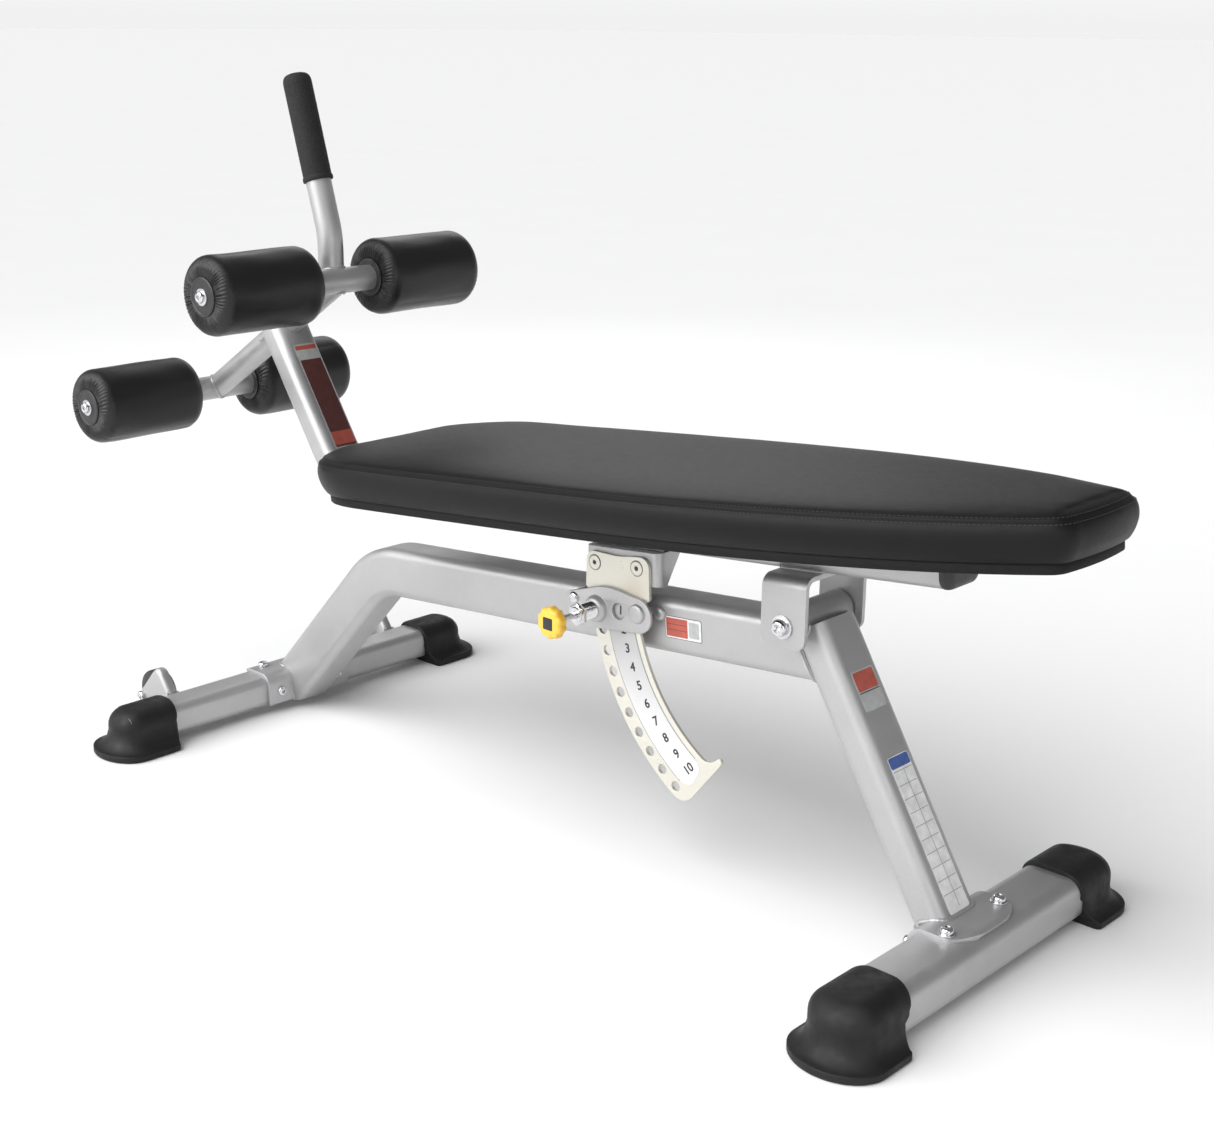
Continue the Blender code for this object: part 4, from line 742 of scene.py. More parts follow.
carve(beam, tool(prism("beam_foot_cut", [(-1500.0, -80.0), (-1100.0, -80.0), (-1100.0, 14.0), (face_r - 1, 14.0)] + [(x - 1, z - 1) for x, z in arc] + [(-1500.0, top_r - 1)], -60, 60, helper=True)))
finish_piece(beam, "steel_paint", "base", ("main_beam",))

leg = sweep("front_leg_skin", [(LEG_X0 - LEG_SLOPE * (386.0 - LEG_Z0), 386.0), (LEG_X0 + LEG_SLOPE * (LEG_Z0 - 20.0), 20.0)],
            rounded_rect(LEG_W, LEG_H, LEG_R, 10), "steel_paint", "base", helper=True)
fr = FRONT_TUBE["r"] + SADDLE_T
left = back_f
arc = [(left + fr + fr * math.cos(math.radians(a)), top_f - fr + fr * math.sin(math.radians(a))) for a in range(180, 89, -6)]
carve(leg, tool(prism("leg_foot_cut", [(-140.0, -60.0), (-140.0, 50.0), (left + 1, 50.0)] + [(x + 1, z - 1) for x, z in arc] + [(90.0, top_f - 1), (90.0, -60.0)], -60, 60, helper=True)),
      tool(turned("leg_top_cut", [(0, -70), (BARREL_R - 3, -70), (BARREL_R - 3, 70), (0, 70)], (PIVOT_X, 0, PIVOT_Z), (0, 1, 0), "bolt_chrome", "base", helper=True)))
finish_piece(leg, "steel_paint", "base", ("front_leg",))

turned("pivot_barrel_skin", [(14.2, -BARREL_HALF), (BARREL_R - 0.8, -BARREL_HALF), (BARREL_R - 0.2, -BARREL_HALF + 0.25), (BARREL_R, -BARREL_HALF + 0.8), (BARREL_R, BARREL_HALF - 0.8),
                             (BARREL_R - 0.2, BARREL_HALF - 0.25), (BARREL_R - 0.8, BARREL_HALF), (14.2, BARREL_HALF), (14.2, -BARREL_HALF)],
       (PIVOT_X, 0, PIVOT_Z), (0, 1, 0), "steel_paint", "base", ("pivot_barrel",))
for label, side in SIDES:
    turned("pivot_bush_" + label + "_skin", [(8.35, 0), (18.6, 0), (19.0, -0.4), (19.0, -2.2), (13.9, -2.2), (13.9, -27.0), (8.35, -27.0), (8.35, 0)],
           (PIVOT_X, side * (BARREL_HALF + 2.4), PIVOT_Z), (0, side, 0), "bush_bronze", "base", ("pivot_bush_" + label,))

# -------------------------------------------------------------- wheel mounts
for label, side in SIDES:
    pts = [(-1321.0, 52.0), (-1321.0, 62.0), (-1341.0, 90.0), (-1347.0, 94.5), (-1355.0, 95.5), (-1362.0, 91.0)]
    pts += [(WHEEL_X + 11 * math.cos(math.radians(a)), WHEEL_Z + 11 * math.sin(math.radians(a))) for a in range(135, 271, 9)]
    pts += [(-1335.0, 22.0), (-1320.0, 30.0)]
    ring = [tuple(p) for p in resample([(x, 0.0, z) for x, z in pts], 3.0)]
    ring = [(p[0], p[2]) for p in ring]
    for _ in range(2):
        ring = [((a[0] + 2 * b[0] + c[0]) / 4, (a[1] + 2 * b[1] + c[1]) / 4) for a, b, c in zip(ring[-1:] + ring[:-1], ring, ring[1:] + ring[:1])]
    outward = ring_normals(ring)
    sign = 1.0 if sum((p[0] + 1355.0) * n.x + (p[1] - 60.0) * n.y for p, n in zip(ring, outward)) > 0 else -1.0
    rows, m = [], len(ring)
    for step in range(7):
        ang = math.radians(90.0 * step / 6)
        rows.append((7.5 * (1 - math.sin(ang)), 7.5 * (1 - math.cos(ang))))
    verts, faces = [], []
    for inset, deep in rows + [(i, 19.0 - d) for i, d in rows[::-1]]:
        y = side * (230.0 - deep)
        verts += [(p[0] - sign * n.x * inset, y, p[1] - sign * n.y * inset) for p, n in zip(ring, outward)]
    for k in range(2 * len(rows) - 1):
        faces += ring_faces(k * m, (k + 1) * m, m)
    faces += [tuple(range(m)), tuple((2 * len(rows) - 1) * m + k for k in range(m))]
    piece("wheel_bracket_" + label + "_skin", verts, faces, "steel_paint", "base", ("wheel_bracket_" + label,), deg=40)
    tread = [(5.3, -11), (12, -11), (12.6, -10.4), (12.6, -8), (20, -8), (21, -10.4), (21.8, -11), (32.5, -11), (WHEEL_R - 1.2, -9.8), (WHEEL_R - 0.3, -8.0), (WHEEL_R, -5.5), (WHEEL_R, -1.4), (WHEEL_R - 0.8, -0.8)]
    turned("wheel_" + label + "_skin", tread + [(r, -a) for r, a in tread[::-1]] + [tread[0]],
           (WHEEL_X, side * 198.0, WHEEL_Z), (0, side, 0), "cap_plastic", "wheel_" + label, ("wheel_" + label,), n=72)
    button_bolt("wheel_bolt_" + label + "_skin", (WHEEL_X, side * 230.0, WHEEL_Z), (0, side, 0), 9.0, 5.5, 5.0, 44.0, "base", ("wheel_bolt_" + label,))

# ------------------------------------------------ guide plate and pull pin
hx = PIVOT_X + ARC_R * math.cos(math.radians(ARC_FIRST))
hz = PIVOT_Z + ARC_R * math.sin(math.radians(ARC_FIRST))
GUIDE_Y0, GUIDE_Y1 = -58.0, -53.0
STUD_R, STUD_F, WINDOW = (-599.5, 346.6), (-486.6, 349.5), (-520.5, 344.7)
outline = hull([(-599.5 + x, 336 + z) for x, z in circle(19.5, 60)] + [(-578 + x, 329 + z) for x, z in circle(18.5, 60)]
               + [(-486 + x, 346 + z) for x, z in circle(23, 60)] + [(-533 + x, 273 + z) for x, z in circle(100.5, 240) if z > 80])
plate("guide_plate_skin", outline, [(WINDOW[0], WINDOW[1], 11.0), (hx, hz, PIN_R + 0.35)], GUIDE_Y0, GUIDE_Y1, "steel_paint", "base", ("guide_plate",), bevel=1.4)
side_y = -BEAM_W / 2
for name, (sx, sz), collar, head, mat in (("guide_stud_rear", STUD_R, 9.5, [(8.0, 0.0), (7.9, 1.4), (7.0, 3.0), (5.2, 4.1), (2.8, 4.6), (0, 4.7)], "bolt_chrome"),
                                          ("guide_stud_front", STUD_F, 5.9, [(13.0, -0.2), (12.8, 1.8), (12.0, 3.4), (10.8, 4.4), (9.4, 4.8), (0, 5.0)], "steel_paint")):
    face = -GUIDE_Y0 + side_y
    turned(name + "_skin", [(0, -1.0), (collar, -1.0), (collar, -GUIDE_Y1 + side_y), (5.2, -GUIDE_Y1 + side_y), (5.2, face)] + [(r, face + a) for r, a in head],
           (sx, side_y, sz), (0, -1, 0), mat, "base", (name,), n=48)
turned("beam_stop_stud", [(0, -1.0), (9.0, -1.0), (9.0, 2.0), (8.4, 4.0), (6.8, 5.6), (4.0, 6.6), (0, 7.0)], (-467.0, side_y, 349.0), (0, -1, 0), "steel_paint", "base", n=48)

HOUSE0 = GUIDE_Y0
thread = []
for k in range(14):
    a = 9.0 + 1.55 * k
    thread += [(11.0, a), (10.35, a + 0.75)]
turned("plunger_housing_skin",
       [(PIN_R + 0.35, 0.0), (17.0, 0.0), (16.8, 1.2), (15.4, 4.6), (14.6, 6.4), (13.6, 7.6), (11.0, 8.2)] + thread + [(11.0, 31.5), (11.0, 39.5), (10.0, 40.7), (4.9, 40.7), (4.9, 36.5),
        (9.2, 36.5), (9.2, 3.2), (PIN_R + 0.35, 3.2), (PIN_R + 0.35, 0.0)],
       (hx, HOUSE0, hz), (0, -1, 0), "bolt_chrome", "base", ("plunger_housing",))
turned("plunger_collar", [(11.2, 0.0), (18.5, 0.0), (18.2, 2.0), (16.8, 5.2), (15.2, 7.4), (13.4, 8.6), (11.2, 8.8), (11.2, 0.0)], (hx, HOUSE0, hz), (0, -1, 0), "steel_paint", "base")
turned("plunger_locknut_skin", [(11.0, 31.6), (12.4, 31.6), (("hex", 26.6), 32.6), (("hex", 27.0), 33.4), (("hex", 27.0), 37.2), (("hex", 26.6), 38.0), (12.4, 38.9), (11.0, 38.9), (11.0, 31.6)],
       (hx, HOUSE0, hz), (0, -1, 0), "bolt_chrome", "base", ("plunger_locknut",), n=72)
PIN_TIP = -52.2
turned("plunger_pin_skin", [(0, 0), (PIN_R - 1.4, 0), (PIN_R - 0.4, 0.4), (PIN_R, 1.4), (PIN_R, 25.8), (8.4, 25.8), (8.4, 28.3), (4.5, 28.3), (4.5, 84.0), (0, 84.0)],
       (hx, PIN_TIP, hz), (0, -1, 0), "bolt_chrome", "plunger", ("plunger_pin",), n=48)
verts, faces = [], []
turns, per, wire, spring_r, s0, s1 = 4.0, 36, 0.9, 7.0, 29.8, 39.6
steps = int(turns * per)
for k in range(steps + 1):
    ang = 2 * math.pi * k / per
    for m in range(10):
        b = math.pi * m / 5
        rad = spring_r + wire * math.cos(b)
        verts.append((hx + rad * math.cos(ang), PIN_TIP - s0 - (s1 - s0) * k / steps - wire * math.sin(b), hz + rad * math.sin(ang)))
for k in range(steps):
    faces += ring_faces(k * 10, (k + 1) * 10, 10)
faces += [tuple(range(10)), tuple(steps * 10 + k for k in range(10))]
piece("plunger_spring_skin", verts, faces, "spring_wire", "base", ("plunger_spring",), deg=80)

KNOB0, KNOB_R, LOBES = 79.5, 22.0, 10


def lobe(r, along, ang):
    f = max(0.0, min(1.0, (r - 12.0) / 8.0))
    return -1.9 * f * (0.5 - 0.5 * math.cos(LOBES * ang)), 0.0


turned("plunger_knob_skin", [(0, 5.1 + KNOB0), (4.6, 5.1 + KNOB0), (4.6, KNOB0 - 2.0), (8.5, KNOB0 - 2.0), (9.5, KNOB0 - 1.0), (11.0, KNOB0), (KNOB_R - 4.5, KNOB0 + 0.6), (KNOB_R - 2.0, KNOB0 + 1.6),
                             (KNOB_R - 0.5, KNOB0 + 3.4), (KNOB_R, KNOB0 + 5.5), (KNOB_R, KNOB0 + 11.5), (KNOB_R - 0.6, KNOB0 + 13.6), (KNOB_R - 2.2, KNOB0 + 15.4), (KNOB_R - 4.6, KNOB0 + 16.3), (12.0, KNOB0 + 16.9), (0, KNOB0 + 17.0)],
       (hx, PIN_TIP, hz), (0, -1, 0), "knob_yellow", "plunger", ("plunger_knob",), n=120, deg=50, wobble=lobe)
obj = prism("knob_inset", rounded_polygon([(hx - 8.2, hz - 8.2, 1.2), (hx + 8.2, hz - 8.2, 1.2), (hx + 8.2, hz + 8.2, 1.2), (hx - 8.2, hz + 8.2, 1.2)], 5), PIN_TIP - KNOB0 - 17.45, PIN_TIP - KNOB0 - 15.5, helper=True)
soften(obj, 0.35, 2, 40)
finish_piece(obj, "cap_plastic", "plunger")

# ------------------------------------------------------- seat rail and post
post_corner_x = (POST_X0 - POST_LEAN * (RAIL_Z0 - RAIL_SLOPE * RAIL_X0 - POST_Z0)) / (1 + POST_LEAN * RAIL_SLOPE)
post_corner = (post_corner_x, RAIL_Z0 + RAIL_SLOPE * (post_corner_x - RAIL_X0))
post_top = (POST_X0 - POST_LEAN * (640.0 - POST_Z0), 640.0)
rail_start = (RAIL_FRONT, RAIL_Z0 + RAIL_SLOPE * (RAIL_FRONT - RAIL_X0))
rail = sweep("seat_rail_skin", bent_path(rail_start, post_corner, post_top, POST_BEND_R, 28), rounded_rect(RAIL_W, RAIL_H, RAIL_R, 10), "steel_paint", "bench", helper=True)
arm_dir = Vector((UPPER_X - LOWER_X, 0, UPPER_Z - LOWER_Z))
arm_len = arm_dir.length
arm_dir.normalize()
arm_n = Vector((-arm_dir.z, arm_dir.x))
a0, a1 = Vector((LOWER_X, LOWER_Z)), Vector((UPPER_X, UPPER_Z))
carve(rail, tool(prism("post_top_cut", [tuple(a0 + arm_n * 2), tuple(a1 + arm_n * 2), tuple(a1 + arm_n * 200), tuple(a0 + arm_n * 200)], -60, 60, helper=True)))
soften(rail, 1.5, 3, 50)
finish_piece(rail, "steel_paint", "bench", ("seat_rail",))

cap_dir = Vector((1.0, 0, RAIL_SLOPE)).normalized()
verts, faces = [], []
cap_rows = [(-13.0, RAIL_W - 7, RAIL_H - 7, RAIL_R - 3.5), (0.0, RAIL_W - 7, RAIL_H - 7, RAIL_R - 3.5), (0.0, RAIL_W + 0.6, RAIL_H + 0.6, RAIL_R + 0.3), (0.8, RAIL_W + 1.2, RAIL_H + 1.2, RAIL_R + 0.6),
            (4.5, RAIL_W + 1.0, RAIL_H + 1.0, RAIL_R + 0.5), (7.5, RAIL_W - 0.5, RAIL_H - 0.5, RAIL_R), (10.0, RAIL_W - 3, RAIL_H - 3, RAIL_R - 1), (12.2, RAIL_W - 8, RAIL_H - 8, RAIL_R - 3),
            (13.6, RAIL_W - 16, RAIL_H - 14, RAIL_R - 6), (14.0, RAIL_W - 26, RAIL_H - 22, RAIL_R - 9)]
for along, w, h, r in cap_rows:
    for a, b in rounded_rect(w, h, max(r, 2.0), 8):
        c = Vector((rail_start[0], 0, rail_start[1])) + cap_dir * along + Vector((-cap_dir.z, 0, cap_dir.x)) * b
        verts.append((c.x, a, c.z))
n = 36
for k in range(len(cap_rows) - 1):
    faces += ring_faces(k * n, (k + 1) * n, n)
faces += [tuple(range(n)), tuple((len(cap_rows) - 1) * n + k for k in range(n))]
piece("rail_end_cap_skin", verts, faces, "cap_plastic", "bench", ("rail_end_cap",), deg=35)

# ------------------------------------------------------------ pivot bracket
BR_OUT, BR_IN, BR_HALF = 61.0, 55.0, 33.0
rail_under = RAIL_Z0 + RAIL_SLOPE * (PIVOT_X - RAIL_X0) - 0.5 * RAIL_H * math.hypot(1, RAIL_SLOPE)


def u_profile(outer, inner, z_top, r_out, r_in, z_low, n=14):
    angles = [90 * k / n for k in range(n + 1)]
    pts = [(-outer, z_low)]
    pts += [(-outer + r_out - r_out * math.cos(math.radians(a)), z_top - r_out + r_out * math.sin(math.radians(a))) for a in angles]
    pts += [(outer - r_out + r_out * math.sin(math.radians(a)), z_top - r_out + r_out * math.cos(math.radians(a))) for a in angles]
    pts += [(outer, z_low), (inner, z_low)]
    zi = z_top - (outer - inner)
    pts += [(inner - r_in + r_in * math.cos(math.radians(a)), zi - r_in + r_in * math.sin(math.radians(a))) for a in angles]
    pts += [(-inner + r_in - r_in * math.sin(math.radians(a)), zi - r_in + r_in * math.cos(math.radians(a))) for a in angles]
    pts += [(-inner, z_low)]
    return pts


profile = u_profile(BR_OUT, BR_IN, rail_under + 0.4, 15.0, 9.0, 340.0)
verts = []
for dx in (-BR_HALF, BR_HALF):
    for y, z in profile:
        verts.append((PIVOT_X + dx, y, z + (RAIL_SLOPE * dx if z > rail_under - 30 else 0.0)))
m = len(profile)
bracket = piece("pivot_bracket_skin", verts, ring_faces(0, m, m) + [tuple(range(m)), tuple(range(2 * m - 1, m - 1, -1))], "steel_paint", "bench", helper=True, split=True)
ear = rounded_polygon([(PIVOT_X - BR_HALF + 0.01, 480, 0), (PIVOT_X - BR_HALF + 0.01, 363.5, 15), (PIVOT_X + BR_HALF - 0.01, 363.5, 15), (PIVOT_X + BR_HALF - 0.01, 480, 0)], 12)
carve(bracket, tool(prism("bracket_plan", ear, -80, 80, helper=True)), operation="INTERSECT")
soften(bracket, 0.8, 3, 50)
finish_piece(bracket, "steel_paint", "bench", ("pivot_bracket",), 30)
button_bolt("pivot_bolt_skin", (PIVOT_X, -BR_OUT, PIVOT_Z), (0, -1, 0), 11.0, 9.0, 8.0, 138.0, "bench", ("pivot_bolt",), washer=(15.0, 2.6))
turned("pivot_nut_skin", [(8.0, 0), (14.6, 0), (15.0, 0.4), (15.0, 2.2), (14.7, 2.5), (12.0, 2.5), (("hex", 24.0), 3.0), (("hex", 24.0), 10.4), (("hex", 23.4), 11.6), (10.6, 12.5), (8.0, 12.5), (8.0, 0)],
       (PIVOT_X, BR_OUT, PIVOT_Z), (0, 1, 0), "bolt_chrome", "bench", ("pivot_nut",), n=60)

# --------------------------------------------------- arc mount and arc plate
MX0, MX1, MY0, MY1, MZ0, MT = -591.0, -461.0, ARC_Y1 + 0.2, -2.0, 386.5, 4.0


def rail_low(x):
    return RAIL_Z0 + RAIL_SLOPE * (x - RAIL_X0) - 0.5 * RAIL_H * math.hypot(1, RAIL_SLOPE) + 1.0


def mount_block(name, x0, x1, y0, r, back_low, back_top, z_low, z_top):
    low = rounded_polygon([(x0, y0, r), (x1, y0, r), (x1, back_low, 0), (x0, back_low, 0)], 10)
    high = rounded_polygon([(x0, y0, r), (x1, y0, r), (x1, back_top, 0), (x0, back_top, 0)], 10)
    m = len(low)
    verts = [(x, y, z_low) for x, y in low] + [(x, y, z_top(x)) for x, y in high]
    return piece(name, verts, [tuple(range(m)), tuple(range(2 * m - 1, m - 1, -1))] + ring_faces(0, m, m), "steel_paint", "bench", helper=True, split=True)


arc_mount = mount_block("arc_mount_skin", MX0, MX1, MY0, 11.0, -29.0, MY1, MZ0, rail_low)
carve(arc_mount, tool(mount_block("arc_mount_inside", MX0 + MT, MX1 - MT, MY0 + MT, 7.0, 70.0, 70.0, MZ0 - 20.0, lambda x: rail_low(x) - MT)))
soften(arc_mount, 0.8, 3, 50)
finish_piece(arc_mount, "steel_paint", "bench", ("arc_mount",), 30)


def polar(r, deg):
    return (PIVOT_X + r * math.cos(math.radians(deg)), PIVOT_Z + r * math.sin(math.radians(deg)))


R_OUT, R_IN = 326.0, 247.0
outline = rounded_polygon([(-584.0, 366.0, 0), (-583.0, 415.4, 14), (-547.0, 416.2, 0), (-535.0, 416.4, 0), (-521.0, 418.0, 0), (-506.0, 421.0, 0), (-474.0, 426.0, 14), (-471.6, 366.5, 5), (-494.0, 361.0, 0)], 12)
outline += [polar(R_IN, a) for a in [191.0 + 1.0 * k for k in range(49)]]
outline += [polar(245.8, 240.3), polar(241.5, 241.7), polar(235.5, 242.7), polar(230.0, 243.3), polar(226.5, 243.7),
            polar(225.5, 244.4), polar(227.5, 245.2), polar(231.0, 245.4), polar(240.0, 245.0)]
outline += [polar(306.0, 242.0), polar(315.0, 241.3), polar(321.5, 240.3), polar(325.3, 238.8)]
outline += [polar(R_OUT, a) for a in [237.0 - 1.0 * k for k in range(52)]]
holes = [polar(ARC_R, ARC_FIRST + ARC_STEP * k) + (7.0,) for k in range(ARC_HOLES)]
ARC_BOLTS = [(-568.1, 400.4), (-494.0, 407.5)]
plate("arc_plate_skin", outline, holes, ARC_Y0, ARC_Y1, "plate_nickel", "bench", ("arc_plate",), bevel=0.5)
for tag, (x, z) in zip(("rear", "front"), ARC_BOLTS):
    turned("arc_bolt_" + tag + "_skin", [(0, -0.5), (("hex", 6.0), -0.5), (("hex", 6.2), 0.9), (4.1, 1.15), (7.2, 1.3), (8.6, 1.2), (9.5, 0.8), (9.9, 0.2), (9.9, -0.4), (4.8, -0.4), (4.8, -15.0), (0, -15.0)],
           (x, ARC_Y0, z), (0, -1, 0), "plate_nickel", "bench", ("arc_bolt_" + tag,), n=72)
    # painted shade: a dark hex disc at the bottom of the head's socket stands for the shade in the recess
    turned("arc_bolt_socket_" + tag, [(0, 0.25), (("hex", 5.9), 0.25), (("hex", 5.9), -0.3), (0, -0.3)], (x, ARC_Y0, z), (0, -1, 0), "cap_plastic", "bench", n=48)
    # painted shade: a thin black ring round the head's rim stands for the shade of a groove at its edge
    turned("arc_bolt_ring_" + tag, [(9.8, 0.0), (10.6, 0.0), (10.6, 0.35), (9.8, 0.35), (9.8, 0.0)], (x, ARC_Y0, z), (0, -1, 0), "ink_black", "bench", n=72)
# the number strip, and a number for each hole at the place that the window shows
strip = [polar(300.0, a) for a in range(187, 237)] + [polar(299.3, 237.4), polar(296.5, 238.8), polar(291.5, 239.9), polar(284.0, 240.4), polar(272.0, 240.5), polar(264.0, 240.2), polar(259.0, 239.4), polar(256.8, 238.2), polar(256.2, 236.8)] + [polar(256.0, a) for a in range(236, 186, -1)]
plate("number_strip", strip, [], ARC_Y0 - 0.45, ARC_Y0 + 0.2, "strip_grey", "bench", bevel=0.12)
for tag, rad in (("outer", 300.6), ("inner", 255.2)):
    line = [polar(rad + 0.5, a) for a in range(187, 238)] + [polar(rad - 0.5, a) for a in range(237, 186, -1)]
    plate("strip_border_" + tag, line, [], ARC_Y0 - 0.5, ARC_Y0 + 0.2, "label_line", "bench", bevel=0.08)
win_r = math.hypot(WINDOW[0] - PIVOT_X, WINDOW[1] - PIVOT_Z)
win_a = math.degrees(math.atan2(WINDOW[1] - PIVOT_Z, WINDOW[0] - PIVOT_X)) % 360
for k in range(ARC_HOLES):
    curve = bpy.data.curves.new(f"number_{k + 1}", "FONT")
    curve.body = str(k + 1)
    curve.size = 0.0172
    curve.align_x, curve.align_y = "CENTER", "CENTER"
    curve.extrude = 0.00008
    curve.bevel_depth = 0.00034
    curve.bevel_resolution = 1
    obj = bpy.data.objects.new(f"number_{k + 1}", curve)
    bpy.context.scene.collection.objects.link(obj)
    nx, nz = polar(win_r, win_a + ARC_STEP * k)
    obj.matrix_world = Matrix.Translation(P(nx, ARC_Y0 - 0.52, nz)) @ Matrix.Rotation(-math.radians(ARC_STEP * k), 4, "Y") @ Matrix.Rotation(math.radians(90), 4, "X")
    bpy.context.view_layer.update()
    mesh = bpy.data.meshes.new_from_object(obj.evaluated_get(bpy.context.evaluated_depsgraph_get()))
    mesh.transform(obj.matrix_world)
    bpy.data.objects.remove(obj, do_unlink=True)
    made = bpy.data.objects.new(f"number_{k + 1}", mesh)
    bpy.context.scene.collection.objects.link(made)
    finish_piece(made, "ink_black", "bench", deg=30)

# --------------------------------------------------- cross tubes, arm, handle
for label, cx, cz in (("upper", UPPER_X, UPPER_Z), ("lower", LOWER_X, LOWER_Z)):
    half = ROLLER_OUT - 6.0
    turned(label + "_cross_tube_skin", [(0, -half), (ROUND_R - 0.6, -half), (ROUND_R, -half + 0.6), (ROUND_R, half - 0.6), (ROUND_R - 0.6, half), (0, half)],
           (cx, 0, cz), (0, 1, 0), "steel_paint", "bench", (label + "_cross_tube",), n=72)
arm_mid = (a0 + a1) / 2
turned("roller_arm_skin", [(0, -arm_len / 2), (ROUND_R, -arm_len / 2), (ROUND_R, arm_len / 2), (0, arm_len / 2)], (arm_mid.x, 0, arm_mid.y), tuple(arm_dir), "steel_paint", "bench", ("roller_arm",), n=72)
GRIP_DIR = Vector((-0.286, 0.958)).normalized()
grip_low = Vector((-1190.8, 850.3))
HANDLE_X = -1167.0
HANDLE_BEND = tuple(grip_low + GRIP_DIR * ((HANDLE_X - grip_low.x) / GRIP_DIR.x))
handle_top = grip_low + GRIP_DIR * 140.0
handle = sweep("handle_tube_skin", bent_path((HANDLE_X, UPPER_Z + 2.0), HANDLE_BEND, tuple(handle_top), 130.0, 20), circle(ROUND_R, 64), "steel_paint", "bench", ("handle_tube",))
grip_c = grip_low - GRIP_DIR * 2.0
rows = [(0, 148.0), (ROUND_R, 148.0), (ROUND_R, 0.4), (ROUND_R + 0.5, 0.0), (21.6, 0.0), (22.3, 0.5), (22.6, 1.6), (22.6, 5.0), (22.2, 6.3), (21.4, 7.2)]
for k in range(66):
    a = 8.0 + 2.1 * k
    rows += [(21.42, a), (21.18, a + 1.05)]
rows += [(21.2, 147.5), (20.7, 150.5), (19.6, 153.4), (17.8, 155.9), (15.0, 157.8), (11.5, 158.9), (6.0, 159.3), (0, 159.35)]
turned("hand_grip_skin", rows, (grip_c.x, 0, grip_c.y), (GRIP_DIR.x, 0, GRIP_DIR.y), "grip_foam", "bench", ("hand_grip",), n=72, deg=60)

# ----------------------------------------------------------------- rollers
LEN = ROLLER_OUT - ROLLER_IN
PLEATS = 30


def pleat_noise(ang, seed):
    return 0.5 * math.sin(PLEATS * ang + 1.3 * math.sin(3 * ang + seed)) + 0.3 * math.sin(47 * ang + 2.1 * seed) + 0.2 * math.sin(71 * ang + 0.7 * seed)


def roller(name, cx, cz, side, seed):
    """A foam roller in a vinyl sleeve, gathered into pleats at both ends."""
    e = 19.0
    prof = [(24.0, 6.0), (26.0, 3.4), (28.5, 1.6), (31.0, 0.6), (34.0, 0.15)]
    prof += [(ROLLER_R - e, 0.0)]
    for k in range(1, 13):
        a = math.radians(90.0 * k / 12)
        prof.append((ROLLER_R - e + e * math.sin(a), e - e * math.cos(a)))
    body_steps = 30
    for k in range(1, body_steps):
        prof.append((ROLLER_R, e + (LEN - 2 * e) * k / body_steps))
    for k in range(0, 13):
        a = math.radians(90.0 * k / 12)
        prof.append((ROLLER_R - e + e * math.cos(a), LEN - e + e * math.sin(a)))
    prof += [(34.0, LEN - 0.15), (31.0, LEN - 0.6), (28.5, LEN - 1.6), (26.0, LEN - 3.4), (24.0, LEN - 6.0)]
    prof.append(prof[0])

    def shape(r, along, ang):
        near = min(along, LEN - along)
        low_end = along < LEN / 2
        turn = ang + (0.0 if low_end else 0.4)
        # sharp gathers: a folded wave, uneven round the end
        wave = math.sin(PLEATS * turn + 1.1 * math.sin(3 * turn + seed) + 0.6 * math.sin(7 * turn + 2 * seed))
        fold = 1.0 - abs(wave) ** 0.7
        height = 0.65 + 0.35 * math.sin(5 * turn + 2.3 * seed) * math.sin(2 * turn + seed)
        inner = max(0.0, min(1.0, (r - 26.0) / 5.0))
        reach = max(0.0, min(1.0, (ROLLER_R - 2.0 - r) / 14.0)) if near < 19.0 else 0.0
        over = math.exp(-max(0.0, near - 4.0) / 7.0)
        depth = 3.4 * fold * height * inner * max(reach, 0.22 * over)
        sign = -1.0 if low_end else 1.0
        soft = 0.0
        if near > 14.0:
            body = min(1.0, (near - 14.0) / 20.0)
            soft = body * (0.55 * math.sin(2 * ang + 0.018 * along + seed) + 0.35 * math.sin(5 * ang - 0.045 * along + 2 * seed) + 0.16 * math.sin(11 * ang + 0.03 * along + seed))
        crease = -0.7 * math.exp(-((math.sin(0.5 * (ang - 2.2 - 0.3 * seed))) / 0.03) ** 2) * math.exp(-((near - 30.0) / 24.0) ** 2)
        crease -= 0.5 * math.exp(-((math.sin(0.5 * (ang - 4.0 + 0.5 * seed))) / 0.04) ** 2) * math.exp(-((near - 50.0) / 40.0) ** 2)
        puff = 2.2 * math.exp(-((r - 44.0) / 8.0) ** 2) * (1.0 if near < 12.0 else 0.0)
        return -0.45 * depth + soft + crease - 0.6, sign * (0.25 * puff - depth)

    obj = turned(name + "_sleeve", prof, (cx, side * ROLLER_IN, cz), (0, side, 0), "roller_vinyl", name, (name,), n=300, deg=70, wobble=shape)
    return obj


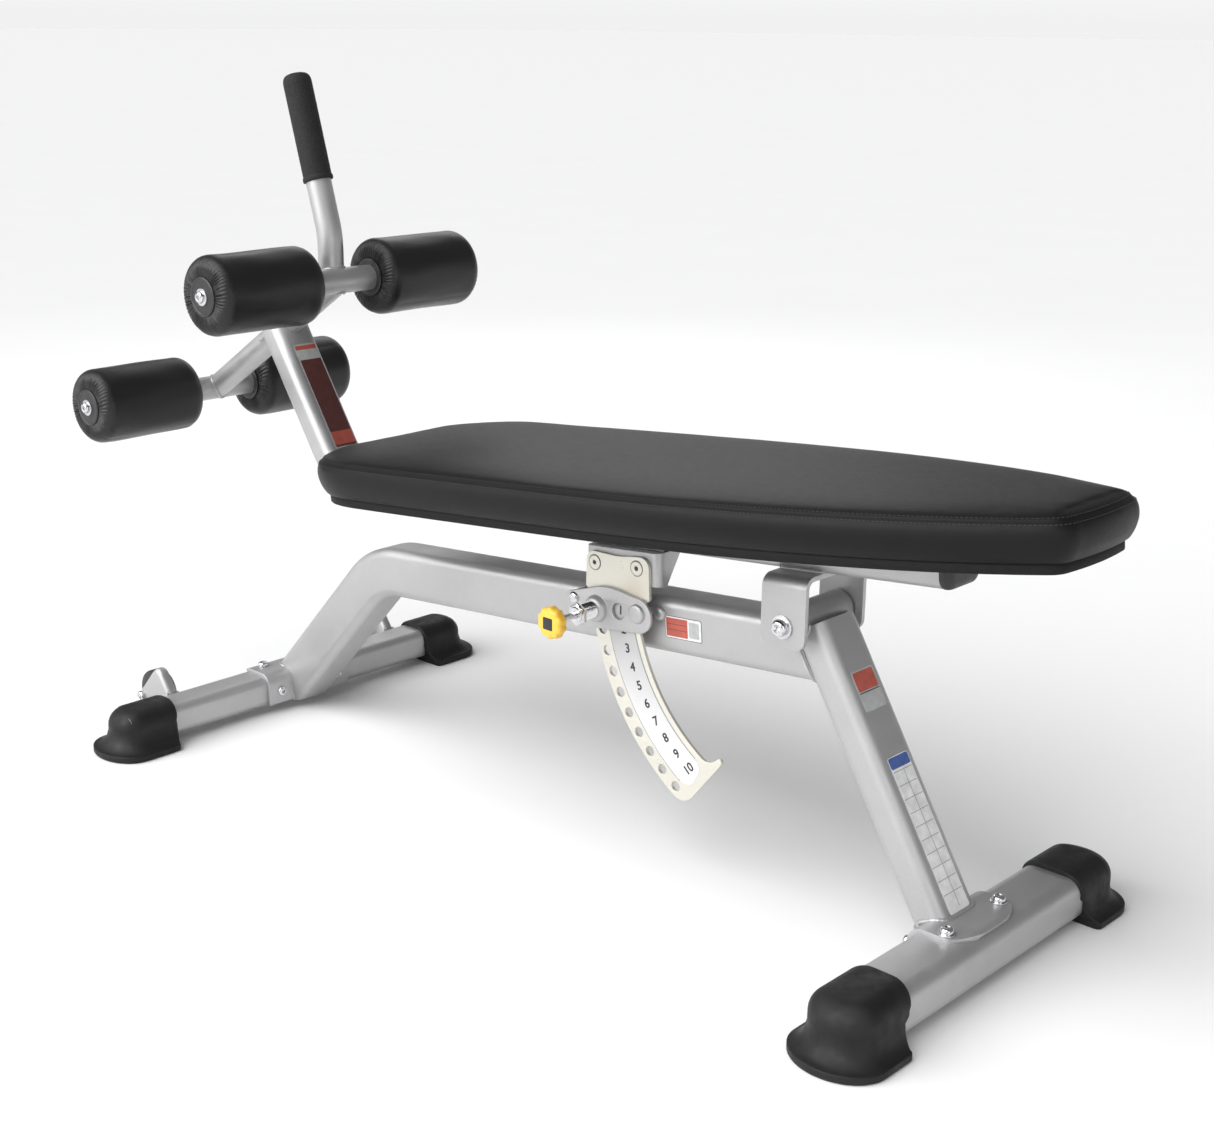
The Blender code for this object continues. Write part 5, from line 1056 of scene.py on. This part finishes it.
seed = 0.0
for level, cx, cz in (("upper", UPPER_X, UPPER_Z), ("lower", LOWER_X, LOWER_Z)):
    for label, side in SIDES:
        seed += 1.7
        roller(f"roller_{level}_{label}", cx, cz, side, seed)
        for tag, at, out in (("outer", ROLLER_OUT, side), ("inner", ROLLER_IN, -side)):
            hole = 0.0 if tag == "outer" else 19.6
            rows = [(hole, -6.0), (27.6, -6.0), (28.4, -1.0), (28.2, 0.2), (27.2, 0.9), (24.5, 1.1), (23.6, 0.5), (22.6, 0.4), (13.4, 0.5), (12.6, 0.9), (max(hole, 11.0), 1.0)]
            if hole:
                rows = [(hole, -6.0), (27.6, -6.0), (28.4, -1.0), (28.2, 0.2), (27.2, 0.9), (24.5, 1.1), (23.0, 0.4), (hole, 0.4), (hole, -6.0)]
            else:
                rows = [(0, -4.8), (20.2, -4.8), (20.4, -6.0)] + rows[1:] + [(0, 1.0)]
            turned(f"roller_{level}_{label}_{tag}_disc", rows, (cx, side * ROLLER_IN if tag == "inner" else side * (ROLLER_OUT - 0.6), cz), (0, out, 0), "cap_plastic", f"roller_{level}_{label}", n=72)
        button_bolt(f"roller_cap_{level}_{label}_skin", (cx, side * (ROLLER_OUT + 0.2), cz), (0, side, 0), 8.6, 5.8, 8.0, 10.0, "bench", (f"roller_cap_{level}_{label}",), washer=(12.4, 1.8))

# --------------------------------------------------------------------- pad


def half_width(x):
    taper = max(0.0, (x + 500.0) / 640.0)
    waist = max(0.0, (-600.0 - x) / 440.0)
    return 200.0 - 96.0 * taper ** 2.1 - 28.0 * taper ** 6 - 3.0 * waist ** 2


def side_points(per_side):
    right = []
    x0, x1 = PAD_REAR, PAD_FRONT
    r_rear, r_front = 120.0, 40.0
    w_rear = half_width(x0 + r_rear)
    joint, turn = x1 - r_front, 0.0
    for _ in range(20):
        turn = math.atan(half_width(joint - 0.5) - half_width(joint + 0.5))
        joint = x1 - r_front + r_front * math.sin(turn)
    centre = half_width(joint) - r_front * math.cos(turn)
    for k in range(0, 15):
        a = math.radians(180 + 90.0 * k / 14)
        right.append((x0 + r_rear + r_rear * math.cos(a), -(w_rear - r_rear) + r_rear * math.sin(a)))
    for k in range(1, per_side):
        x = x0 + r_rear + (joint - x0 - r_rear) * k / per_side
        right.append((x, -half_width(x)))
    for k in range(0, 15):
        a = math.radians(270) + turn + (math.radians(90) - turn) * k / 14
        right.append((x1 - r_front + r_front * math.cos(a), -centre + r_front * math.sin(a)))
    # smooth the joints between the arcs and the sides
    for _ in range(6):
        right = [right[0]] + [(0.25 * a[0] + 0.5 * b[0] + 0.25 * c[0], 0.25 * a[1] + 0.5 * b[1] + 0.25 * c[1]) for a, b, c in zip(right, right[1:], right[2:])] + [right[-1]]
    return right


ACROSS = 34
RIGHT = side_points(96)
KR = len(RIGHT)


def ring_of(right):
    """The whole outline from its right side: both ends are bridged with a slight bow."""
    left = [(x, -y) for x, y in right]
    bow = [4.0 * (1.0 - (2.0 * j / ACROSS - 1.0) ** 2) for j in range(ACROSS)]
    front = [(right[-1][0] + bow[j], right[-1][1] + (left[-1][1] - right[-1][1]) * j / ACROSS) for j in range(1, ACROSS)]
    rear = [(left[0][0] - bow[j], left[0][1] + (right[0][1] - left[0][1]) * j / ACROSS) for j in range(1, ACROSS)]
    return right + front + left[::-1] + rear


BASE_RING = ring_of(RIGHT)
RING_N = len(BASE_RING)


NORMALS = ring_normals(BASE_RING)


def pad_point(x, y, lift):
    base = BOARD_Z0 + PAD_SLOPE * (x - RAIL_X0)
    return (x - lift * PAD_SLOPE, y, base + lift)


def ring_at(inset):
    return [(p[0] + n.x * inset, p[1] + n.y * inset) for p, n in zip(BASE_RING, NORMALS)]


def edge_distance(x, y):
    return min(math.hypot(x - p[0], y - p[1]) for p in BASE_RING[::3])


# the board
rows = [(17.0, 0.0), (15.9, 0.6), (15.5, 1.6), (15.5, BOARD_T - 1.0), (16.2, BOARD_T)]
verts, faces = [], []
for inset, lift in rows:
    verts += [pad_point(x, y, lift) for x, y in ring_at(inset)]
for k in range(len(rows) - 1):
    faces += ring_faces(k * RING_N, (k + 1) * RING_N, RING_N)
faces += [tuple(range(RING_N)), tuple((len(rows) - 1) * RING_N + k for k in range(RING_N))]
piece("pad_board_skin", verts, faces, "board_black", "bench", ("pad_board",), deg=40)

# the upholstery: a tight side panel, a rolled corner with the seam, a crowned top
z0 = BOARD_T - 0.4
SEAM_ROW = 15
rows = [(19.0, z0), (14.5, z0 + 0.2), (12.2, z0 + 1.0), (10.4, z0 + 2.6), (8.6, z0 + 5.0), (6.2, z0 + 9.0), (4.0, z0 + 13.5), (2.2, z0 + 18.5), (0.9, z0 + 23.5), (0.3, z0 + 28.0), (0.4, z0 + 32.5),
        (0.9, z0 + 36.5), (1.9, z0 + 40.0), (3.3, z0 + 43.0), (5.0, z0 + 45.4), (6.9, z0 + 46.9), (9.0, z0 + 48.6), (11.8, z0 + 50.4), (15.2, z0 + 51.9), (19.4, z0 + 53.0)]
verts, faces = [], []
for inset, lift in rows:
    verts += [pad_point(x, y, lift) for x, y in ring_at(inset)]
for k in range(len(rows) - 1):
    faces += ring_faces(k * RING_N, (k + 1) * RING_N, RING_N)
last = (len(rows) - 1) * RING_N
top_ring = ring_at(rows[-1][0])
grid = {}
for k in range(KR):
    grid[(k, 0)] = last + k
    grid[(k, ACROSS)] = last + KR + (ACROSS - 1) + (KR - 1 - k)
for j in range(1, ACROSS):
    grid[(KR - 1, j)] = last + KR + j - 1
    grid[(0, ACROSS - j)] = last + 2 * KR + (ACROSS - 1) + j - 1
for k in range(1, KR - 1):
    xr, yr = top_ring[k]
    xl, yl = top_ring[KR + (ACROSS - 1) + (KR - 1 - k)]
    for j in range(1, ACROSS):
        f = j / ACROSS
        x, y = xr + (xl - xr) * f, yr + (yl - yr) * f
        d = edge_distance(x, y) - rows[-1][0]
        crown = 3.0 * (1.0 - math.exp(-max(0.0, d) / 26.0))
        grid[(k, j)] = len(verts)
        verts.append(pad_point(x, y, rows[-1][1] + crown))
for k in range(KR - 1):
    for j in range(ACROSS):
        faces.append((grid[(k, j)], grid[(k + 1, j)], grid[(k + 1, j + 1)], grid[(k, j + 1)]))
low = {}
for k in range(KR):
    low[(k, 0)] = k
    low[(k, ACROSS)] = KR + (ACROSS - 1) + (KR - 1 - k)
for j in range(1, ACROSS):
    low[(KR - 1, j)] = KR + j - 1
    low[(0, ACROSS - j)] = 2 * KR + (ACROSS - 1) + j - 1
bottom_ring = ring_at(rows[0][0])
for k in range(1, KR - 1):
    xr, yr = bottom_ring[k]
    xl, yl = bottom_ring[KR + (ACROSS - 1) + (KR - 1 - k)]
    for j in range(1, ACROSS):
        low[(k, j)] = len(verts)
        verts.append(pad_point(xr + (xl - xr) * j / ACROSS, yr + (yl - yr) * j / ACROSS, rows[0][1]))
HELD = set(low.values()) | set(range(6 * RING_N))
for k in range(KR - 1):
    for j in range(ACROSS):
        faces.append((low[(k, j)], low[(k, j + 1)], low[(k + 1, j + 1)], low[(k + 1, j)]))
pad = piece("seat_pad_cover", verts, faces, "pad_vinyl", "bench", deg=75, helper=True)


def swell(obj, frames=14, cap=2.6, fixed=lambda co: False):
    """A short cloth simulation with inside pressure; each point moves at most cap mm."""
    before = [v.co.copy() for v in obj.data.vertices]
    group = obj.vertex_groups.new(name="held")
    held = [v.index for v in obj.data.vertices if fixed(v.index)]
    group.add(held, 1.0, "REPLACE")
    mod = obj.modifiers.new("cloth", "CLOTH")
    st = mod.settings
    st.quality = 5
    st.mass = 0.35
    st.use_pressure = True
    st.uniform_pressure_force = 4.0
    st.tension_stiffness = 22.0
    st.compression_stiffness = 22.0
    st.shear_stiffness = 12.0
    st.bending_stiffness = 1.5
    st.effector_weights.gravity = 0.0
    st.vertex_group_mass = "held"
    mod.collision_settings.use_collision = False
    mod.collision_settings.use_self_collision = False
    mod.point_cache.frame_start = 1
    mod.point_cache.frame_end = frames
    scene = bpy.context.scene
    for f in range(1, frames + 1):
        scene.frame_set(f)
    graph = bpy.context.evaluated_depsgraph_get()
    mesh = obj.evaluated_get(graph).to_mesh()
    after = [v.co.copy() for v in mesh.vertices]
    obj.evaluated_get(graph).to_mesh_clear()
    obj.modifiers.clear()
    scene.frame_set(1)
    # only the swell along the cover's own normal is kept, evened out over its neighbours
    near = [[] for _ in before]
    for e in obj.data.edges:
        near[e.vertices[0]].append(e.vertices[1])
        near[e.vertices[1]].append(e.vertices[0])
    out = [max(0.0, min(cap * MM, (b - a).dot(v.normal))) for v, a, b in zip(obj.data.vertices, before, after)]
    for _ in range(14):
        out = [0.5 * o + 0.5 * sum(out[j] for j in near[i]) / len(near[i]) for i, o in enumerate(out)]
    pinned = set(held)
    for i, (v, a) in enumerate(zip(obj.data.vertices, before)):
        v.co = a + v.normal * (0.0 if i in pinned else out[i])
    obj.vertex_groups.clear()


swell(pad, fixed=lambda i: i in HELD)

# seam groove between the side panel and the top panel, and its two stitch rows
co = [v.co.copy() for v in pad.data.vertices]


def row_line(row):
    return [co[row * RING_N + k] for k in range(RING_N)]


def cumulative(line):
    total = [0.0]
    for a, b in zip(line, line[1:] + line[:1]):
        total.append(total[-1] + (b - a).length)
    return total


pad.data.update()
normals_now = [v.normal.copy() for v in pad.data.vertices]
for k in range(RING_N):
    i = SEAM_ROW * RING_N + k
    pad.data.vertices[i].co = co[i] - normals_now[i] * (0.7 * MM)
    for row, depth in ((SEAM_ROW - 1, 0.15), (SEAM_ROW + 1, -0.10)):
        j = row * RING_N + k
        pad.data.vertices[j].co = co[j] - normals_now[j] * (depth * MM)
# the cover is smoothed with one level of subdivision
mod = pad.modifiers.new("smooth", "SUBSURF")
mod.levels = mod.render_levels = 1
apply_all(pad)
finish_piece(pad, "pad_vinyl", "bench", ("seat_pad",), 75)

verts, faces = [], []


def stitch_row(row_a, row_b, mix, pitch=5.2, length=3.4, r=0.42):
    line = [co[row_a * RING_N + k].lerp(co[row_b * RING_N + k], mix) for k in range(RING_N)]
    nrm = [(normals_now[row_a * RING_N + k] + normals_now[row_b * RING_N + k]).normalized() for k in range(RING_N)]
    dist = cumulative(line)
    total = dist[-1]
    count = int(total / (pitch * MM))
    j = 0

    def at(s):
        nonlocal j
        s %= total
        if s < dist[j]:
            j = 0
        while dist[j + 1] < s:
            j += 1
        f = (s - dist[j]) / max(1e-9, dist[j + 1] - dist[j])
        b = (j + 1) % RING_N
        return line[j].lerp(line[b], f), nrm[j].lerp(nrm[b], f).normalized()

    for c in range(count):
        s = total * c / count
        base = len(verts)
        for q, (ds, rise, rad) in enumerate(((-0.5, -0.25, 0.35), (-0.3, 0.25, 0.9), (0.0, 0.42, 1.0), (0.3, 0.25, 0.9), (0.5, -0.25, 0.35))):
            p, nn = at(s + ds * length * MM)
            p2, _ = at(s + (ds + 0.05) * length * MM)
            t = (p2 - p).normalized()
            u = t.cross(nn).normalized()
            for m in range(6):
                a = math.pi * m / 3
                verts.append(p + nn * (rise * MM * r / 0.42 + math.sin(a) * r * rad * MM) + u * (math.cos(a) * r * rad * MM))
        for q in range(4):
            faces.extend(ring_faces(base + q * 6, base + (q + 1) * 6, 6))
        faces.append(tuple(base + m for m in range(6)))
        faces.append(tuple(base + 24 + m for m in range(6)))


stitch_row(SEAM_ROW - 2, SEAM_ROW - 1, 0.35)
stitch_row(SEAM_ROW + 1, SEAM_ROW + 2, 0.55)
piece("pad_stitching", verts, faces, "thread", "bench", deg=80, metres=True)

# --------------------------------------------------------------- weld beads
def ring3(outline, origin, u, v):
    return [tuple(Vector(origin) + Vector(u) * a + Vector(v) * b) for a, b in outline]


# leg on its saddle
cut_k = LEG_H * math.hypot(1, LEG_SLOPE)
foot_x = LEG_X0 + LEG_SLOPE * (LEG_Z0 - top_f)
pts = []
for a, b in rounded_rect(LEG_W + 1, cut_k + 1, LEG_R + 2, 8):
    x = foot_x + b
    z = top_f
    edge = back_f + FRONT_TUBE["r"] + SADDLE_T
    if x < edge:
        r = FRONT_TUBE["r"] + SADDLE_T
        # follow the leg's slope down on to the rounded corner
        for _ in range(12):
            dx = max(-r, min(0.0, x - edge))
            z = top_f - r + math.sqrt(max(0.0, r * r - dx * dx))
            x = foot_x + b + LEG_SLOPE * (top_f - z)
        z = max(z, 50.0)
    pts.append((x, a, z))
weld("weld_leg_saddle", pts, "base", 2.6)
# beam on the leg
pts = []
for a, b in rounded_rect(BEAM_W + 1, BEAM_H + 1, BEAM_R + 1, 8):
    pln = Vector((LEG_X0, LEG_Z0)) - leg_nrm * (LEG_H / 2)
    nb = Vector((-t_beam.y, t_beam.x)).normalized()
    q = Vector((BEAM_X0, BEAM_Z0)) + nb * b
    q = q + t_beam * ((pln - q).dot(leg_nrm) / t_beam.dot(leg_nrm))
    pts.append((q.x, a, q.y))
weld("weld_beam_leg", pts, "base", 2.4)
# beam on the rear saddle
pts = []
d_dir = Vector((math.cos(math.radians(DESC_DEG)), math.sin(math.radians(DESC_DEG))))
d_nrm = Vector((-d_dir.y, d_dir.x))
for a, b in rounded_rect(BEAM_W + 1, BEAM_H + 1, BEAM_R + 1, 8):
    q = Vector((DESC_X0, DESC_Z0)) + d_nrm * b
    r = REAR_TUBE["r"] + SADDLE_T
    lo_s, hi_s = -400.0, 0.0
    for _ in range(40):
        mid = 0.5 * (lo_s + hi_s)
        w = q + d_dir * mid
        cx, cz = face_r - r, top_r - r
        inside = (w.x <= face_r and w.y <= top_r) and not (w.x > cx and w.y > cz and math.hypot(w.x - cx, w.y - cz) > r)
        if inside:
            lo_s = mid
        else:
            hi_s = mid
    w = q + d_dir * hi_s
    if w.y > 15:
        pts.append((w.x, a, w.y))
weld("weld_beam_saddle", pts, "base", 2.4, closed=False) if len(pts) < 34 else weld("weld_beam_saddle", pts, "base", 2.4)
# round tubes: bead where a tube meets the cross tubes, and barrel on the leg


def ring_on_cylinder(p, d, r, centre, r_axis, span=260.0):
    """Where a tube of radius r about p + s d meets a cylinder along Y about centre."""
    d = Vector(d).normalized()
    u = Vector((0, 1, 0))
    w = d.cross(u)
    out = []
    for k in range(72):
        a = 2 * math.pi * k / 72
        q = Vector(p) + u * (r * math.cos(a)) + w * (r * math.sin(a))
        rel = Vector((q.x - centre[0], q.z - centre[1]))
        dd = Vector((d.x, d.z))
        bq = rel.dot(dd)
        cq = rel.dot(rel) - r_axis * r_axis
        disc = bq * bq - dd.dot(dd) * cq
        if disc < 0:
            s = -bq / dd.dot(dd)
        else:
            s = (-bq - math.sqrt(disc)) / dd.dot(dd)
        out.append(tuple(q + d * s))
    return out


weld("weld_arm_upper", ring_on_cylinder((arm_mid.x, 0, arm_mid.y), tuple(arm_dir), ROUND_R + 0.3, (UPPER_X, UPPER_Z), ROUND_R), "bench", 2.2)
weld("weld_arm_lower", ring_on_cylinder((arm_mid.x, 0, arm_mid.y), tuple(-arm_dir), ROUND_R + 0.3, (LOWER_X, LOWER_Z), ROUND_R), "bench", 2.2)
pts = [p for p in ring_on_cylinder((HANDLE_X, 0, 780.0), (0, 0, -1), ROUND_R + 0.3, (UPPER_X, UPPER_Z), ROUND_R)]
pts = [(x, y, max(z, UPPER_Z + 4.0)) for x, y, z in pts]
weld("weld_handle", pts, "bench", 2.2)
# post on the arm: two side beads along the cut
post_w = RAIL_H / 2
post_dir = Vector((-POST_LEAN, 1.0)).normalized()
pd_n = Vector((-post_dir.y, post_dir.x))
pts = []
for a, b in rounded_rect(RAIL_W - 1, RAIL_H + 1, RAIL_R, 8):
    q = Vector((POST_X0, POST_Z0)) + pd_n * b
    s = (a0 + arm_n * 2 - q).dot(arm_n) / post_dir.dot(arm_n)
    w = q + post_dir * s
    pts.append((w.x, a, w.y))
for side in (-1, 1):
    weld(f"weld_post_{'right' if side < 0 else 'left'}", [(a0.x + arm_dir.x * f - arm_n.x * -2.0, side * (ROUND_R + 0.2), a0.y + arm_dir.z * f + arm_n.y * 2.0) for f in range(178, 252, 4)], "bench", 2.6, closed=False)
# bracket and mount on the rail
for side in (-1, 1):
    lab = "right" if side < 0 else "left"
    weld(f"weld_bracket_{lab}", [(PIVOT_X + dx, side * (RAIL_W / 2 - 7.0), rail_under + RAIL_SLOPE * dx + 1.2) for dx in range(-33, 34, 3)], "bench", 2.4, closed=False)
weld("weld_mount", [(x, -RAIL_W / 2 + 2.0, rail_low(x) + 2.5) for x in range(-580, -462, 4)], "bench", 2.6, closed=False)
# barrel on the leg and the beam
for side in (-1, 1):
    lab = "right" if side < 0 else "left"
    pts = [(PIVOT_X + (BARREL_R + 0.3) * math.cos(math.radians(a)), side * (LEG_W / 2 - 0.5), PIVOT_Z + (BARREL_R + 0.3) * math.sin(math.radians(a))) for a in range(236, 370, 6)]
    weld(f"weld_barrel_{lab}", pts, "base", 2.4, closed=False)
# wheel stubs on the rear tube
for label, side in SIDES:
    for q, yy in (("in", 211.0), ("out", 230.0)):
        weld(f"weld_stub_{label}_{q}", [(REAR_TUBE["x"] - 30.5, side * yy, 30.0 + 4 * k) for k in range(5)] + [(REAR_TUBE["x"] - 30.2 + 1.5 * k, side * yy, 52.0 + 3.2 * k) for k in range(1, 4)], "base", 2.0, closed=False)

# ------------------------------------------------------- blank sticker patches


def patch(name, centre, u, v, n, w, h, mat, body, r=2.0, lift=0.35):
    """A thin blank label with rounded corners; u across, v up, n outward."""
    u, v, n = Vector(u).normalized(), Vector(v).normalized(), Vector(n).normalized()
    outline = rounded_rect(w, h, r, 6)
    verts = [tuple(Vector(centre) + u * a + v * b + n * s) for s in (-0.3, lift) for a, b in outline]
    m = len(outline)
    faces = [tuple(range(m)), tuple(m + k for k in range(m))] + ring_faces(0, m, m)
    obj = piece(name, verts, faces, mat, body, deg=30)
    return obj


leg_d = Vector((LEG_SLOPE, 0, -1.0)).normalized()
leg_out = Vector((leg_nrm.x, 0, leg_nrm.y))


def on_leg(z):
    return Vector((LEG_X0 + LEG_SLOPE * (LEG_Z0 - z), 0, z)) + leg_out * (LEG_H / 2)


c = on_leg(305.0) + Vector((0, -0.5, 0))
patch("leg_label_back", c, (0, 1, 0), -leg_d, leg_out, 43.0, 51.0, "label_grey", "base", 3.5, 0.25)
patch("leg_label_head", c - leg_d * 11.5, (0, 1, 0), -leg_d, leg_out, 39.0, 24.0, "label_red", "base", 2.0, 0.4)
patch("leg_label_bar", c - leg_d * -2.5, (0, 1, 0), -leg_d, leg_out, 39.0, 1.2, "ink_black", "base", 0.4, 0.45)
c = on_leg(148.0) + Vector((0, 0.5, 0))
patch("leg_chart_back", c, (0, 1, 0), -leg_d, leg_out, 43.0, 199.0, "label_line", "base", 4.0, 0.25)
patch("leg_chart_sheet", c, (0, 1, 0), -leg_d, leg_out, 41.0, 197.0, "label_white", "base", 3.4, 0.35)
patch("leg_chart_head", c - leg_d * 90.5, (0, 1, 0), -leg_d, leg_out, 39.0, 14.0, "label_blue", "base", 3.0, 0.45)
for k in range(10):
    patch(f"leg_chart_rule_{k + 1}", c - leg_d * (80.0 - 17.2 * k), (0, 1, 0), -leg_d, leg_out, 37.0, 0.8, "label_line", "base", 0.3, 0.45)
patch("leg_chart_column", c + leg_d * 7.0 + Vector((0, 2.0, 0)), (0, 1, 0), -leg_d, leg_out, 0.8, 172.0, "label_line", "base", 0.3, 0.5)
post_out = Vector((post_dir.y, 0, -post_dir.x))
post_up = Vector((post_dir.x, 0, post_dir.y))


def on_post(z):
    return Vector((POST_X0 - POST_LEAN * (z - POST_Z0), 4.0, z)) + post_out * (RAIL_H / 2)


patch("post_label_back", on_post(511.0), (0, 1, 0), post_up, post_out, 42.0, 176.0, "label_grey", "bench", 4.0, 0.25)
patch("post_label_body", on_post(500.5), (0, 1, 0), post_up, post_out, 39.0, 148.0, "label_dark_red", "bench", 2.0, 0.4)
patch("post_label_head", on_post(579.0), (0, 1, 0), post_up, post_out, 39.0, 7.0, "label_red", "bench", 1.5, 0.4)
patch("post_label_foot", on_post(451.0), (0, 1, 0), post_up, post_out, 39.0, 22.0, "label_red", "bench", 1.5, 0.5)
beam_up = Vector((-t_beam.y, 0, t_beam.x)).normalized()
bc = Vector((-428.8, -BEAM_W / 2, BEAM_Z0 + BEAM_SLOPE * (-428.8 - BEAM_X0) + 0.8))
patch("beam_label_back", bc, (1, 0, BEAM_SLOPE), beam_up, (0, -1, 0), 62.0, 29.5, "ink_black", "base", 3.0, 0.2)
patch("beam_label_sheet", bc, (1, 0, BEAM_SLOPE), beam_up, (0, -1, 0), 60.6, 28.1, "label_white", "base", 2.6, 0.3)
patch("beam_label_panel", bc + Vector((-10.6, 0, -0.9)), (1, 0, BEAM_SLOPE), beam_up, (0, -1, 0), 36.0, 24.5, "label_red", "base", 1.0, 0.4)
for k in range(2):
    patch(f"beam_label_rule_{k + 1}", bc + Vector((-10.6, 0, 3.4 - 7.5 * k)), (1, 0, BEAM_SLOPE), beam_up, (0, -1, 0), 34.0, 0.7, "label_dark_red", "base", 0.2, 0.5)
patch("beam_label_mark", bc + Vector((18.0, 0, 1.4)), (1, 0, BEAM_SLOPE), beam_up, (0, -1, 0), 17.0, 21.0, "label_grey", "base", 2.0, 0.4)

for obj in HELPERS:
    bpy.data.objects.remove(obj, do_unlink=True)

# CAD nodes that still show get a finish of their own
for name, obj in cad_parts.items():
    if not obj.hide_render:
        obj.data.materials.clear()
        obj.data.materials.append(M["steel_paint"])

# ------------------------------------------------------------ floor and light
bpy.ops.mesh.primitive_plane_add(size=240.0, location=(0, 0, 0))
floor = bpy.context.object
floor.name = "floor"
ft = Tree("floor_pale", (0.86, 0.86, 0.86), 0.0, 0.8, Specular_IOR_Level=0.1)
ft.link(ft.ramp(ft.noise(2.0, 3.0), (0.3, (0.930, 0.930, 0.930)), (0.7, (0.940, 0.940, 0.940))), "Base Color")
floor.data.materials.clear()
floor.data.materials.append(ft.mat)

# a studio: bright low down all round, with a dark ceiling for the metal to reflect
world = bpy.data.worlds.new("studio")
bpy.context.scene.world = world
world.use_nodes = True
wt = world.node_tree
co_w = wt.nodes.new("ShaderNodeTexCoord").outputs["Generated"]
sep = wt.nodes.new("ShaderNodeSeparateXYZ")
wt.links.new(co_w, sep.inputs[0])
wr = wt.nodes.new("ShaderNodeValToRGB")
el = wr.color_ramp.elements
while len(el) < 5:
    el.new(0.5)
for e, (pos, v) in zip(el, ((0.0, 0.84), (0.012, 0.86), (0.10, 0.34), (0.35, 0.16), (1.0, 0.20))):
    e.position = pos
    e.color = (v, v, v * 1.01, 1)
wt.links.new(sep.outputs["Z"], wr.inputs["Fac"])
wt.links.new(wr.outputs["Color"], wt.nodes["Background"].inputs["Color"])
wt.nodes["Background"].inputs["Strength"].default_value = 1.05


def aim(obj, location, target):
    obj.location = location
    obj.rotation_euler = (Vector(target) - Vector(location)).to_track_quat("-Z", "Y").to_euler()


def area(name, location, target, size, power, colour=(1, 1, 1)):
    data = bpy.data.lights.new(name, "AREA")
    data.shape = "RECTANGLE"
    data.size, data.size_y = size
    data.energy = power
    data.color = colour
    obj = bpy.data.objects.new(name, data)
    bpy.context.scene.collection.objects.link(obj)
    aim(obj, location, target)
    return obj


def sun(name, location, target, strength, angle):
    data = bpy.data.lights.new(name, "SUN")
    data.energy = strength
    data.angle = math.radians(angle)
    obj = bpy.data.objects.new(name, data)
    bpy.context.scene.collection.objects.link(obj)
    aim(obj, location, target)
    return obj


sun("broad_key", (-0.9, -2.6, 2.5), (0.0, 0.0, 0.0), 3.7, 75.0)
area("key", (-1.6, -3.0, 1.9), (0.0, 0.0, 0.45), (2.6, 1.8), 26.0)
area("fill", (3.2, -1.4, 1.3), (0.2, 0.0, 0.4), (1.6, 1.6), 14.0)
area("rim", (-2.6, 2.6, 2.2), (-0.3, 0.0, 0.6), (2.0, 1.2), 14.0)

cam_data = bpy.data.cameras.new("camera")
cam_data.sensor_width = 36.0
cam_data.sensor_fit = "HORIZONTAL"
cam_data.lens = 1810.136 * 36.0 / 1214.0
cam = bpy.data.objects.new("camera", cam_data)
bpy.context.scene.collection.objects.link(cam)
R = Vector((0.72718344, 0.68638138, 0.00921113))
U = Vector((-0.2036775, 0.20293194, 0.9577756))
F = Vector((-0.65553011, 0.69835466, -0.28736919))
rot = Matrix((R, U, -F)).transposed().to_4x4()
cam.matrix_world = Matrix.Translation(P(999.833, -1698.849, 1084.328)) @ rot
bpy.context.scene.camera = cam
bpy.context.scene.view_settings.view_transform = "Standard"
